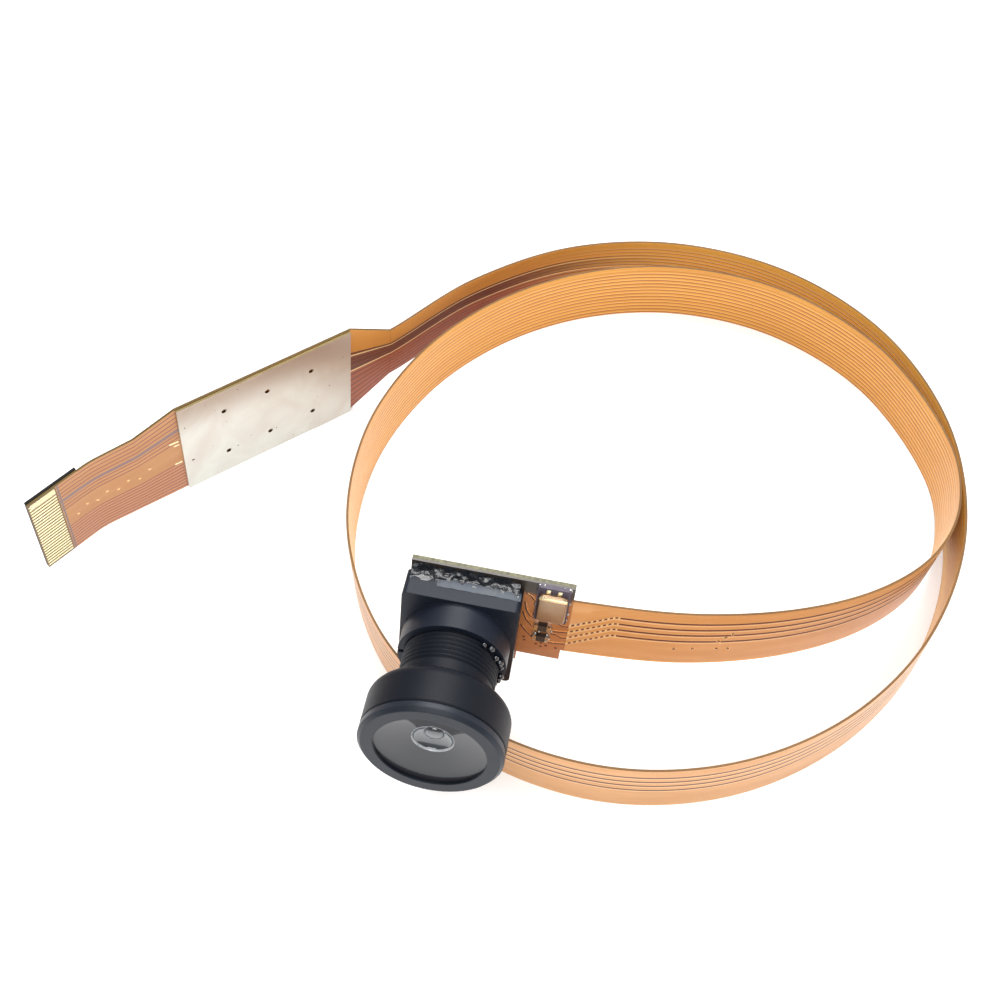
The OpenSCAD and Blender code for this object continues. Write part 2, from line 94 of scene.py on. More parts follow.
def material(name):
    """A new empty material and its node tree."""
    made = bpy.data.materials.new(name)
    made.use_nodes = True
    made.node_tree.nodes.clear()
    return made, made.node_tree


def surface(tree, inputs):
    """Closes a material with the standard shader."""
    shader = add(tree, "ShaderNodeBsdfPrincipled", inputs)
    add(tree, "ShaderNodeOutputMaterial", {"Surface": shader.outputs[0]})


eye = Vector((12.09, -78.05, 136.7)) * MM
aim = Vector((-1.79, 1.91, 0)) * MM
camera = bpy.data.objects.new("camera", bpy.data.cameras.new("camera"))
camera.data.lens = 50.4
camera.data.sensor_width = 36
camera.data.clip_start = 0.005
camera.data.clip_end = 5
camera.location = eye
camera.rotation_euler = (aim - eye).to_track_quat("-Z", "Y").to_euler()
scene.collection.objects.link(camera)
scene.camera = camera

FLOOR_HALF = 1.5
floor_mesh = bpy.data.meshes.new("floor")
floor_mesh.from_pydata([(x * FLOOR_HALF, y * FLOOR_HALF, 0)
                        for x, y in ((-1, -1), (1, -1), (1, 1), (-1, 1))], [], [(0, 1, 2, 3)])
table_floor = bpy.data.objects.new("floor", floor_mesh)
scene.collection.objects.link(table_floor)

# Matt white card: lifted to plain white for the eye and in reflections, so that
# only the object's soft shadow shows on it. The lift grows away from the object.
LIFT_NEAR, LIFT_FROM, LIFT_TO = 0.33, 0.16, 0.5
card, tree = material("matt white card")
path = add(tree, "ShaderNodeLightPath")
seen = add(tree, "ShaderNodeMath", {0: path.outputs["Is Camera Ray"],
                                    1: path.outputs["Is Glossy Ray"]}, operation="MAXIMUM")
seen = add(tree, "ShaderNodeMath", {0: seen.outputs[0],
                                    1: path.outputs["Is Transmission Ray"]}, operation="MAXIMUM")
spot = add(tree, "ShaderNodeTexCoord")
away = add(tree, "ShaderNodeVectorMath", {0: spot.outputs["Object"]}, operation="LENGTH")
level = add(tree, "ShaderNodeMapRange", {"Value": away.outputs["Value"],
                                         "From Min": LIFT_FROM, "From Max": LIFT_TO,
                                         "To Min": LIFT_NEAR, "To Max": 1.0})
lift = add(tree, "ShaderNodeMath", {0: seen.outputs[0], 1: level.outputs[0]},
           operation="MULTIPLY")
matt = add(tree, "ShaderNodeBsdfDiffuse", {"Color": linear("#ECECEC")})
glow = add(tree, "ShaderNodeEmission", {"Color": linear("#FFFFFF"), "Strength": lift.outputs[0]})
lifted = add(tree, "ShaderNodeAddShader", {0: matt.outputs[0], 1: glow.outputs[0]})
add(tree, "ShaderNodeOutputMaterial", {"Surface": lifted.outputs[0]})
floor_mesh.materials.append(card)

# The room: a weak even light on the object, and plain white where it is seen.
ROOM_LIGHT = 0.38
world = bpy.data.worlds.new("studio")
world.use_nodes = True
scene.world = world
tree = world.node_tree
tree.nodes.clear()
path = add(tree, "ShaderNodeLightPath")
seen = add(tree, "ShaderNodeMath", {0: path.outputs["Is Camera Ray"],
                                    1: path.outputs["Is Transmission Ray"]}, operation="MAXIMUM")
level = between(tree, seen.outputs[0], ROOM_LIGHT, 1.0)
sky = add(tree, "ShaderNodeBackground", {"Color": linear("#FFFFFF"), "Strength": level})
add(tree, "ShaderNodeOutputWorld", {"Surface": sky.outputs[0]})

# name, place, size and power of each softbox, in metres and watts
for name, place, side, power in (("key softbox", (0.0, 0.32, 0.54), 0.42, 4.3),
                                 ("right softbox", (0.50, 0.10, 0.36), 0.30, 0.9),
                                 ("front fill", (0.0, -0.30, 0.56), 0.40, 2.6)):
    lamp = bpy.data.lights.new(name, "AREA")
    lamp.size = side
    lamp.energy = power
    softbox = bpy.data.objects.new(name, lamp)
    softbox.location = place
    softbox.rotation_euler = (-Vector(place)).to_track_quat("-Z", "Y").to_euler()
    scene.collection.objects.link(softbox)


# ---- Long strip ----
# A flexible printed circuit: copper tracks between amber polyimide films,
# etched, laminated and cut 8 mm wide. It stands on its edge and winds in a
# loop of a little over one and a half turns from the head to the contact end.
STRIP_W, FILM_T = 8.0, 0.25

# The head's own axes, from the mount on the front of the lens, which lies
# LENS_MOUNT_Z in front of the holder's face. The strip starts at the board's right.
HEAD_ROLL = radians(3)
LENS_MOUNT_Z = 10.475
head_axis = Vector(mounts["lens_front"]["axis"]).normalized()
head_pos = Vector(mounts["lens_front"]["pos_m"]) / MM - head_axis * LENS_MOUNT_Z
level_x = Vector((1, 0, 0))
level_y = head_axis.cross(level_x)
head_x = level_x * cos(HEAD_ROLL) - level_y * sin(HEAD_ROLL)
head_y = level_x * sin(HEAD_ROLL) + level_y * cos(HEAD_ROLL)
BOARD_FACE, BOARD_RIGHT, STRIP_LOW = -2.9, 10.45, -2.8


def at_head(x, y, z):
    """A point of the head, in mm, z outwards from the holder's front face."""
    return head_pos + head_x * x + head_y * y + head_axis * z


# The contact end's axes, from the mount on the plate: u runs from the plate's start
# to the contacts, v up. The strip joins it STRIP_V up; it bends before its backing.
PLATE_L, PLATE_W, PLATE_T = 21.0, 14.7, 0.3
TAIL_HEADING, TAIL_RISE, TAIL_LEAN = radians(-136), radians(5), radians(-2)
WIDEN_L, STRIP_V = 5.2, 3.4
TAIL_L, BACKING_L, BEND_L, TAIL_BEND = 17.6, 6.2, 2.4, radians(13)
TAIL_END = PLATE_L + TAIL_L
BACKING_U = TAIL_END - BACKING_L
BEND_FROM = BACKING_U - BEND_L
tail_u = Vector((cos(TAIL_HEADING) * cos(TAIL_RISE), sin(TAIL_HEADING) * cos(TAIL_RISE),
                 sin(TAIL_RISE)))
tail_left = Vector((-sin(TAIL_HEADING), cos(TAIL_HEADING), 0))
tail_v = tail_u.cross(tail_left).normalized() * cos(TAIL_LEAN) - tail_left * sin(TAIL_LEAN)
tail_v.normalize()
tail_n = tail_v.cross(tail_u)
tail_pos = (Vector(mounts["plate_face"]["pos_m"]) / MM - tail_u * PLATE_L / 2
            - tail_v * PLATE_W / 2 - tail_n * (FILM_T / 2 + PLATE_T))


def clamp(t):
    """Keeps a share between 0 and 1."""
    return max(0.0, min(1.0, t))


def at_tail(u, v, w):
    """A point of the contact end, in mm: u along, v up, w out of its inner face."""
    radius = BEND_L / TAIL_BEND
    angle = TAIL_BEND * clamp((u - BEND_FROM) / BEND_L)
    past = max(0.0, u - BEND_FROM - BEND_L)
    along = u if u <= BEND_FROM else BEND_FROM + radius * sin(angle) + past * cos(TAIL_BEND)
    off = 0.0 if u <= BEND_FROM else radius * (1 - cos(angle)) + past * sin(TAIL_BEND)
    return (tail_pos + tail_u * (along - w * sin(angle)) + tail_v * v
            + tail_n * (off + w * cos(angle)))


def ease(t):
    """Eases from 0 to 1."""
    t = clamp(t)
    return t * t * (3 - 2 * t)


def lookup(at, table):
    """A value read from a short table, straight between its rows."""
    if at <= table[0][0]:
        return table[0][1]
    for (a, first), (b, second) in zip(table, table[1:]):
        if at <= b:
            return first + (second - first) * (at - a) / (b - a)
    return table[-1][1]


# The route, as in the part: round the loop the place is an angle that goes on
# counting past a full turn; the swing from the head joins the loop at JOIN_AT. LEAD
# is how far beyond its ends the outermost points lie, which only steer the curve.
LEAD = 8.0
LOOP_R, LOOP_OVAL, OVAL_AT = 33.4, 0.5, 45
TURN_GAP, GAP_FROM, GAP_TO = 4.0, 340, 600
JOIN_AT, RISE_FROM = 380, 790
EXIT_PULL, JOIN_PULL = 68, 58
SWING_STEPS, TURN_STEPS = 6, 22
LEAN_AT = ((JOIN_AT, 4), (505, 3), (640, -5), (755, 4), (868, -2))
loop_centre = Vector((14.56, 2.38, 0.012))
NECK_SLACK = 0.2
neck_u = -WIDEN_L - NECK_SLACK
neck_low = at_tail(neck_u, STRIP_V, 0)
exit_low = at_head(BOARD_RIGHT, STRIP_LOW, BOARD_FACE - FILM_T / 2)
neck_at = 720 + degrees(atan2(neck_low.y - loop_centre.y, neck_low.x - loop_centre.x))


def turn_low(angle):
    """The strip's lower edge at an angle round the loop."""
    dip = (1 - cos(radians(360 * clamp((angle - GAP_FROM) / (GAP_TO - GAP_FROM))))) / 2
    radius = LOOP_R + LOOP_OVAL * cos(radians(2 * (angle - OVAL_AT))) - TURN_GAP * dip
    lift = neck_low.z * max(0.0, (angle - RISE_FROM) / (neck_at - RISE_FROM)) ** 2
    return loop_centre + Vector((radius * cos(radians(angle)), radius * sin(radians(angle)), lift))


def turn_up(angle):
    """The strip's upward direction there."""
    lean = radians(lookup(angle, LEAN_AT))
    return Vector((cos(radians(angle)) * sin(lean), sin(radians(angle)) * sin(lean), cos(lean)))


join_way = (turn_low(JOIN_AT + 1) - turn_low(JOIN_AT - 1)).normalized()
lows, ups = [exit_low - head_x * LEAD, exit_low], [head_y, head_y]
for k in range(1, SWING_STEPS):
    t = k / SWING_STEPS
    lows.append(exit_low * (1 - ease(t)) + turn_low(JOIN_AT) * ease(t)
                + head_x * EXIT_PULL * t * (1 - t) ** 2 - join_way * JOIN_PULL * t * t * (1 - t))
    ups.append((head_y * (1 - ease(t)) + turn_up(JOIN_AT) * ease(t)).normalized())
for k in range(TURN_STEPS):
    angle = JOIN_AT + k * (neck_at - JOIN_AT) / TURN_STEPS
    lows.append(turn_low(angle))
    ups.append(turn_up(angle))
lows += [neck_low, neck_low + tail_u * LEAD]
ups += [tail_v, tail_v]


def blend(points, i, t):
    """A smooth curve through the points."""
    a, b, c, d = points[i:i + 4]
    return (b * 2 + (c - a) * t + (a * 2 - b * 5 + c * 4 - d) * t * t
            + (b * 3 - a - c * 3 + d) * t ** 3) / 2


def slope(points, i, t):
    """The direction of that curve."""
    a, b, c, d = points[i:i + 4]
    return ((c - a) + (a * 2 - b * 5 + c * 4 - d) * 2 * t
            + (b * 3 - a - c * 3 + d) * 3 * t * t) / 2


# Stations along the strip: (lower edge, upward, towards its outer face, run from the
# head), the run measured along the middle of its width.
STEPS = 18
stations, along = [], 0.0
for k in range((len(lows) - 3) * STEPS + 1):
    i = min(k // STEPS, len(lows) - 4)
    t = k / STEPS - i
    low, up = blend(lows, i, t), blend(ups, i, t).normalized()
    low.z = max(low.z, loop_centre.z)
    right = slope(lows, i, t).cross(up).normalized()
    if stations:
        last_low, last_up = stations[-1][:2]
        along += (low + up * STRIP_W / 2 - last_low - last_up * STRIP_W / 2).length
    stations.append((low, up, right, along))
strip_length = along


TRACK_RISE, TRACK_SLOPE = 0.02, 0.04


def tracks_across(edges):
    """Points (place across, rise) over a face whose tracks lie between the listed edges."""
    line = [(0.0, 0.0)]
    for start, end in edges:
        line += [(start - TRACK_SLOPE, 0.0), (start, TRACK_RISE), (end, TRACK_RISE),
                 (end + TRACK_SLOPE, 0.0)]
    return line + [(STRIP_W, 0.0)]


# Inner face: even fine tracks over the whole width. Outer face: a ground plane
# along the lower half, and four tracks between bare grooves above it.
FINE_TRACKS, FINE_FROM, FINE_W, FINE_PITCH = 14, 0.3, 0.36, STRIP_W / 14.5
fine_starts = [FINE_FROM + k * FINE_PITCH for k in range(FINE_TRACKS)]
fine_tracks = [(start, start + FINE_W) for start in fine_starts]
GROOVES, GROOVE_W = (3.55, 4.55, 5.45, 6.4), 0.24
OUTER_LOW, OUTER_HIGH = 0.25, STRIP_W - 0.45
outer_tracks = list(zip([OUTER_LOW] + [g + GROOVE_W for g in GROOVES],
                        list(GROOVES) + [OUTER_HIGH]))

# By the head the grooves step down by SHIFT, least near the strip's edges.
SHIFT_FROM, SHIFT_TO, SHIFT = -0.6, 4.2, 2.75
SHIFT_FULL_UP, SHIFT_FULL_DOWN = 3.4, 1.4


def lane_place(lane, run):
    """Where a lane of the outer face lies, in mm up from the lower edge."""
    step = 1 - clamp((run - SHIFT_FROM) / (SHIFT_TO - SHIFT_FROM))
    middle = clamp(min(lane / SHIFT_FULL_UP, (STRIP_W - lane) / SHIFT_FULL_DOWN))
    return lane - SHIFT * step * middle


def smooth(mesh, angle):
    """Shades a mesh smooth, but for its edges sharper than the angle."""
    mesh.shade_smooth()
    mesh.set_sharp_from_angle(angle=radians(angle))


# One unit of a skin's layout map is this many mm along the run and across it.
RUN_UNIT, ACROSS_UNIT = 100, 10


def skin(name, rings, end_slot, angle=14):
    """A closed band through rings of (points, run, sides), capped with the end slot's
    material. A side is (material slot, place across where it starts, where it ends)."""
    mesh = bpy.data.meshes.new(name)
    count = len(rings[0][0])
    points = [p * MM for ring, _, _ in rings for p in ring]
    faces, sides = [], []
    for r in range(len(rings) - 1):
        for k in range(count):
            j = (k + 1) % count
            faces.append((r * count + k, r * count + j, (r + 1) * count + j, (r + 1) * count + k))
            sides.append((r, k))
    faces += [tuple(range(count))[::-1],
              tuple((len(rings) - 1) * count + k for k in range(count))]
    mesh.from_pydata(points, [], faces)
    layout = mesh.uv_layers.new(name="layout")
    for face, (r, k) in zip(mesh.polygons, sides):
        slot_index, first, second = rings[r][2][k]
        face.material_index = slot_index
        runs = (rings[r][1], rings[r][1], rings[r + 1][1], rings[r + 1][1])
        for corner, run, across in zip(face.loop_indices, runs, (first, second, second, first)):
            layout.data[corner].uv = (run / RUN_UNIT, across / ACROSS_UNIT)
    for face in mesh.polygons[len(sides):]:
        face.material_index = end_slot
    smooth(mesh, angle)
    made = bpy.data.objects.new(name, mesh)
    scene.collection.objects.link(made)
    return made


# Material slots of the strip's skin
OUTER, INNER, EDGE = 0, 1, 2
outer_line, inner_line = tracks_across(outer_tracks), tracks_across(fine_tracks)[::-1]
strip_sides = ([(OUTER, a[0], b[0]) for a, b in zip(outer_line, outer_line[1:])]
               + [(EDGE, STRIP_W, STRIP_W)]
               + [(INNER, a[0], b[0]) for a, b in zip(inner_line, inner_line[1:])]
               + [(EDGE, 0.0, 0.0)])
rings = []
for low, up, right, run in stations:
    ring = [low + up * lane_place(v, run) + right * (FILM_T / 2 + w) for v, w in outer_line]
    ring += [low + up * v - right * (FILM_T / 2 + w) for v, w in inner_line]
    rings.append((ring, run, strip_sides))
strip = skin("long_strip", rings, EDGE)

# Polyimide over rolled copper: amber film with a soft metallic glow. The film is
# wavy by a few hundredths of a millimetre, and dips over the bare grooves. Its tone
# drifts in long patches, nine to every 100 mm along and to every 10 mm across.
FILM_IOR = 1.7
TONE_PATCHES = 9.0


def stripes(tree, across, places, width):
    """1 on each stripe of that width centred on the places across, in mm."""
    total = None
    for place in places:
        near = add(tree, "ShaderNodeMath", {0: across, 1: place / ACROSS_UNIT,
                                            2: width / 2 / ACROSS_UNIT},
                   operation="COMPARE").outputs[0]
        total = near if total is None else add(tree, "ShaderNodeMath", {0: total, 1: near},
                                               operation="MAXIMUM").outputs[0]
    return total


def both(tree, first, second):
    """The overlap of two masks."""
    return add(tree, "ShaderNodeMath", {0: first, 1: second}, operation="MULTIPLY").outputs[0]


def layered(tree, base, layers):
    """A base colour with further colours laid over it, each where its mask is 1."""
    for mask, colour in layers:
        over = colour if isinstance(colour, bpy.types.NodeSocket) else linear(colour)
        base = add(tree, "ShaderNodeMix", {"Factor": mask, 6: base, 7: over},
                   data_type="RGBA").outputs[2]
    return base


def toned(tree, place, light, dark):
    """A colour that drifts slowly between two tones along the film."""
    drift = add(tree, "ShaderNodeTexNoise", {"Vector": place.outputs[0],
                                             "Scale": TONE_PATCHES, "Detail": 2.0})
    share = add(tree, "ShaderNodeMapRange", {"Value": drift.outputs[0], "From Min": 0.35,
                                             "From Max": 0.65})
    return layered(tree, linear(light), [(share.outputs[0], dark)])


def film(name, layout):
    """Copper under amber film; layout gives its colour and the mask of its bare grooves."""
    made, tree = material(name)
    place = add(tree, "ShaderNodeUVMap", uv_map="layout")
    run, across = add(tree, "ShaderNodeSeparateXYZ", {0: place.outputs[0]}).outputs[0:2]
    colour, grooves = layout(tree, place, run, across)
    grain = clouds(tree, 0.9, 4.0)
    rough = between(tree, grain, 0.27, 0.43)
    dips = add(tree, "ShaderNodeBump", {"Height": grooves, "Strength": 0.3,
                                        "Distance": 0.03 * MM}, invert=True)
    waves = bumped(tree, grain, 0.3, 0.03, dips.outputs[0])
    surface(tree, {"Base Color": colour, "Metallic": 0.3, "Roughness": rough,
                   "IOR": FILM_IOR, "Normal": waves, "Coat Weight": 0.15,
                   "Coat Roughness": 0.12})
    return made


# The outer face's painted highlight, a bright line just below each groove, a golden line along its
# lower edge, and by the head the dashes of the hatched copper that crosses the grooves.
SHINE_BELOW, SHINE_W = 0.13, 0.2
LOWER_EDGE_LINE, LOWER_EDGE_LINE_W = 0.06, 0.3
DASH_PITCH, DASH_SHARE, HATCHED_PAST = 0.5, 0.45, 0.5


def outer_layout(tree, place, run, across):
    """A ground plane, four tracks between bare grooves, and hatched steps by the head."""
    grooves = stripes(tree, across, [g + GROOVE_W / 2 for g in GROOVES], GROOVE_W)
    hatched = add(tree, "ShaderNodeMath", {0: run, 1: (SHIFT_TO + HATCHED_PAST) / RUN_UNIT},
                  operation="LESS_THAN").outputs[0]
    turns = add(tree, "ShaderNodeMath", {0: run, 1: RUN_UNIT / DASH_PITCH},
                operation="MULTIPLY").outputs[0]
    part = add(tree, "ShaderNodeMath", {0: turns}, operation="FRACT").outputs[0]
    dash = add(tree, "ShaderNodeMath", {0: part, 1: DASH_SHARE}, operation="LESS_THAN").outputs[0]
    dash = both(tree, both(tree, dash, hatched), grooves)
    # painted highlight: a bright stripe just below each groove
    shine = stripes(tree, across, [g - SHINE_BELOW for g in GROOVES], SHINE_W)
    colour = layered(tree, toned(tree, place, "#D39450", "#DCA060"),
                     [(shine, "#ECBC84"),
                      (stripes(tree, across, [LOWER_EDGE_LINE], LOWER_EDGE_LINE_W), "#E2A040"),
                      (grooves, "#5C220E"), (dash, "#ECC88E")])
    return colour, grooves


# The inner face: the fine tracks' painted highlights and their top end, and how far before the
# strip's end painted light turns its tone pale and then painted shade turns it dark.
FINE_SHINE, FINE_TOP = 0.13, 7.35
PAINTED_LIGHT_FROM, PAINTED_LIGHT_TO, PAINTED_SHADE_FROM, PAINTED_SHADE_TO = 115, 75, 46, 14


def growing(tree, run, start, end):
    """A mask that grows from 0 to 1 between two places, in mm before the strip's end."""
    return add(tree, "ShaderNodeMapRange",
               {"Value": run, "From Min": (strip_length - start) / RUN_UNIT,
                "From Max": (strip_length - end) / RUN_UNIT},
               interpolation_type="SMOOTHSTEP").outputs[0]


def inner_layout(tree, place, run, across):
    """Even fine tracks with a painted highlight along one edge, and painted light that makes them
    paler on the last third. Towards the contact end painted shade darkens them below a plain band
    of painted light, with darker stripes and two pale lines below that band."""
    count = add(tree, "ShaderNodeMath", {0: across, 1: ACROSS_UNIT / FINE_PITCH},
                operation="MULTIPLY").outputs[0]
    shifted = add(tree, "ShaderNodeMath", {0: count, 1: -FINE_FROM / FINE_PITCH},
                  operation="ADD").outputs[0]
    part = add(tree, "ShaderNodeMath", {0: shifted}, operation="FRACT").outputs[0]
    grooves = add(tree, "ShaderNodeMath", {0: part, 1: (FINE_W + TRACK_SLOPE) / FINE_PITCH},
                  operation="GREATER_THAN").outputs[0]
    # painted highlight: a bright stripe along one edge of each fine track
    shine = add(tree, "ShaderNodeMath", {0: part, 1: FINE_SHINE / FINE_PITCH},
                operation="LESS_THAN").outputs[0]
    below = add(tree, "ShaderNodeMath", {0: across, 1: FINE_TOP / ACROSS_UNIT},
                operation="LESS_THAN").outputs[0]
    grooves, shine = both(tree, grooves, below), both(tree, shine, below)
    # painted light, then painted shade: masks of the pale and the dark stretch before the strip's
    # end
    pale = growing(tree, run, PAINTED_LIGHT_FROM, PAINTED_LIGHT_TO)
    dark = growing(tree, run, PAINTED_SHADE_FROM, PAINTED_SHADE_TO)
    painted_light_tone = layered(tree, linear("#FCCE66"), [(grooves, "#D08430"), (shine, "#FFE6AE")])
    near_tone = layered(tree, toned(tree, place, "#D08C1E", "#DA982C"),
                        [(grooves, "#A4500C"), (shine, "#E8B054"), (pale, painted_light_tone)])
    # painted shade between the two turns, with a plain band of painted light along the top
    painted_shade_tone = layered(tree, toned(tree, place, "#A24E20", "#B25A28"),
                        [(grooves, "#743418"),
                         (stripes(tree, across, [4.75], 1.5), "#642A12"),
                         (stripes(tree, across, [4.4, 4.9, 5.2], 0.1), "#8A4626"),
                         (stripes(tree, across, [6.9], 2.3), "#D8943C"),
                         (stripes(tree, across, [5.65], 0.2), "#642A12"),
                         (stripes(tree, across, [3.9, 5.45], 0.15), "#F6DCA4")])
    return layered(tree, near_tone, [(dark, painted_shade_tone)]), grooves


outer_film = film("polyimide film, outer face", outer_layout)
inner_film = film("polyimide film, inner face", inner_layout)

# The cut edge: amber film with no copper in it, dull where the blade went through,
# and darker on the contact end.
edge_film, tree = material("polyimide film, cut edge")
place = add(tree, "ShaderNodeUVMap", uv_map="layout")
run = add(tree, "ShaderNodeSeparateXYZ", {0: place.outputs[0]}).outputs[0]
past_end = add(tree, "ShaderNodeMath", {0: run, 1: strip_length / RUN_UNIT},
               operation="GREATER_THAN").outputs[0]
tint = layered(tree, toned(tree, place, "#6E4E2A", "#7C5A32"), [(past_end, "#5E4C26")])
surface(tree, {"Base Color": tint, "Roughness": 0.6, "Specular IOR Level": 0.3})
for made in (outer_film, inner_film, edge_film):
    strip.data.materials.append(made)
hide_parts("flex_strip")
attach(strip, "root")


# ---- Contact end ----
# The strip widens, runs behind a bare steel plate and ends in twenty-four
# gold-plated contacts on a stiff black backing.
CONTACTS, CONTACT_PITCH, CONTACT_L, CONTACT_W = 24, 0.5, 3.3, 0.27
END_TOP = PLATE_W - 2.2
END_LOW = END_TOP - (CONTACTS + 1) * CONTACT_PITCH
PLATE_LOW, PLATE_HIGH = 0.1, PLATE_W + 0.1

# Its lower and upper edges, as (u, v)
wide_u, kink_u, step_u = neck_u + WIDEN_L, PLATE_L + 5, BACKING_U + 0.2
LOW_AT = ((neck_u, STRIP_V), (wide_u, PLATE_LOW), (PLATE_L, PLATE_LOW), (BACKING_U, END_LOW))
HIGH_AT = ((neck_u, STRIP_V + STRIP_W), (wide_u, PLATE_HIGH), (PLATE_L, PLATE_HIGH),
           (kink_u, END_TOP + 0.4), (BACKING_U, END_TOP - 0.1), (step_u, END_TOP))


def at_share(u, share, w):
    """A point of the contact end at a share of its width from the lower edge."""
    low, high = lookup(u, LOW_AT), lookup(u, HIGH_AT)
    return at_tail(u, low + (high - low) * share, w)


# Across the contact end, in tenths of its width from the lower edge: nine fine
# tracks, the ground plane, two tracks, one wide bare stripe and five tracks.
TENTHS = 10
TAIL_GROOVES = [0.3 + 0.4 * k for k in range(9)] + [6.2, 6.65, 7.1, 8.1, 8.6, 9.1, 9.6]
TAIL_GROOVE_W, WIDE_STRIPE, WIDE_STRIPE_W = 0.12, 7.55, 0.4
LOWER_TRACKS, LOWER_TRACKS_W = 1.7, 3.5
RING_STEP = 0.35
steps_u = [neck_u + k * RING_STEP for k in range(int((TAIL_END - neck_u) / RING_STEP) + 1)]
tail_us = sorted({wide_u, PLATE_L, kink_u, BACKING_U, step_u, TAIL_END, *steps_u})
SHARES = [k / 16 for k in range(17)]

# Material slots of the contact end's skin; before the plate its face is the strip's.
FACE, BACK, STRIP_FACE = 0, 1, 3


def tail_sides(face_slot, width):
    """The sides of one ring: the face, the upper edge, the back and the lower edge."""
    return ([(face_slot, width * a, width * b) for a, b in zip(SHARES, SHARES[1:])]
            + [(EDGE, TENTHS, TENTHS), (BACK, STRIP_W, 0), (EDGE, 0, 0)])


rings = []
for u in tail_us:
    ring = [at_share(u, share, FILM_T / 2) for share in SHARES]
    ring += [at_share(u, 1, -FILM_T / 2), at_share(u, 0, -FILM_T / 2)]
    sides = tail_sides(STRIP_FACE, STRIP_W) if u < PLATE_L / 2 else tail_sides(FACE, TENTHS)
    rings.append((ring, strip_length + u - neck_u, sides))
tail = skin("contact_tail", rings, EDGE)


# The bare brown film starts a little before the contacts, behind a narrow seam.
BARE_BEFORE, SEAM_BEFORE, SEAM_HALF = 0.1, 0.3, 0.1


def tail_layout(tree, place, run, across):
    """The tracks, the ground plane and the wide bare stripe, the seam across them and
    the bare film between the contacts."""
    grooves = stripes(tree, across, TAIL_GROOVES, TAIL_GROOVE_W)
    lower_tracks = stripes(tree, across, [LOWER_TRACKS], LOWER_TRACKS_W)
    first = strip_length + TAIL_END - CONTACT_L - neck_u
    bare = add(tree, "ShaderNodeMath", {0: run, 1: (first - BARE_BEFORE) / RUN_UNIT},
               operation="GREATER_THAN").outputs[0]
    seam = add(tree, "ShaderNodeMath", {0: run, 1: (first - SEAM_BEFORE) / RUN_UNIT,
                                        2: SEAM_HALF / RUN_UNIT}, operation="COMPARE").outputs[0]
    colour = layered(tree, toned(tree, place, "#B87A3C", "#C2864A"),
                     [(lower_tracks, "#C07E4E"), (grooves, "#8A4832"),
                      (stripes(tree, across, [WIDE_STRIPE], WIDE_STRIPE_W), "#866660"),
                      (seam, "#7C6660"), (bare, "#6E521A")])
    return colour, grooves


tail_face = film("polyimide film, contact end", tail_layout)
for made in (tail_face, outer_film, edge_film, inner_film):
    tail.data.materials.append(made)
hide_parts("flex_tail")
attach(tail, "root")


def dress(node, made):
    """Gives a node of the frame a finished material."""
    mesh = nodes[node].data
    mesh.materials.clear()
    mesh.materials.append(made)


def turned(points, faces, profile, place, steps=24):
    """Adds a turned form: profile is (radius, height), place(x, y, z) sets it down."""
    rows = []
    for radius, height in profile:
        rows.append(len(points))
        count = 1 if radius == 0 else steps
        points.extend(place(radius * cos(2 * pi * k / steps), radius * sin(2 * pi * k / steps),
                            height) for k in range(count))
    for (a, first), (b, second) in zip(zip(rows, profile), zip(rows[1:], profile[1:])):
        for k in range(steps):
            j = (k + 1) % steps
            here = (a, a) if first[0] == 0 else (a + k, a + j)
            there = (b, b) if second[0] == 0 else (b + j, b + k)
            faces.append(tuple(dict.fromkeys(here + there)))


CORNER_STEPS, LEAST_ROUND = 5, 0.02


def pillow(points, faces, place, width, length, radius, layers):
    """Adds a form with rounded corners: layers are (inset, height) from the foot up."""
    rows = []
    for inset, height in layers:
        rows.append(len(points))
        for k, (sx, sy) in enumerate(((1, 1), (-1, 1), (-1, -1), (1, -1))):
            for c in range(CORNER_STEPS + 1):
                turn = pi / 2 * (k + c / CORNER_STEPS)
                round_r = max(LEAST_ROUND, radius - inset)
                points.append(place(sx * (width / 2 - inset - round_r) + round_r * cos(turn),
                                    sy * (length / 2 - inset - round_r) + round_r * sin(turn),
                                    height))
    count = 4 * (CORNER_STEPS + 1)
    for a, b in zip(rows, rows[1:]):
        faces.extend((a + k, a + (k + 1) % count, b + (k + 1) % count, b + k)
                     for k in range(count))
    faces.append(tuple(rows[-1] + k for k in range(count)))


def piece(name, points, faces, made, angle=35):
    """Makes a rigid piece of the points, in mm, with its material."""
    mesh = bpy.data.meshes.new(name)
    mesh.from_pydata([p * MM for p in points], [], faces)
    smooth(mesh, angle)
    mesh.materials.append(made)
    obj = bpy.data.objects.new(name, mesh)
    scene.collection.objects.link(obj)
    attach(obj, "root")
    return obj


# Stainless steel sheet, rolled and faintly brushed along its length: pale, warm and cloudy,
# tarnished brown towards its upper edge, with a few dark specks, and painted shade on the upward
# faces of that edge.
# Brush lines about 0.6 mm apart and 12 mm long, coarse enough to show.
TARNISH_FROM, TARNISH_TO = 9, 14.5
plate_steel, tree = material("brushed stainless steel")
spot = add(tree, "ShaderNodeTexCoord")
turned_axes = add(tree, "ShaderNodeMapping", {"Vector": spot.outputs["Object"],
                                              "Rotation": (0, 0, -TAIL_HEADING),
                                              "Scale": (0.08 / MM, 1.6 / MM, 1.6 / MM)})
brush = add(tree, "ShaderNodeTexNoise", {"Vector": turned_axes.outputs[0], "Scale": 1.0,
                                         "Detail": 5.0})
cloud = clouds(tree, 0.16, 3.0, 1.2)
speck = clouds(tree, 1.3)
height = add(tree, "ShaderNodeVectorMath", {0: spot.outputs["Object"], 1: tail_v},
             operation="DOT_PRODUCT").outputs["Value"]
plate_foot = tail_pos.dot(tail_v)
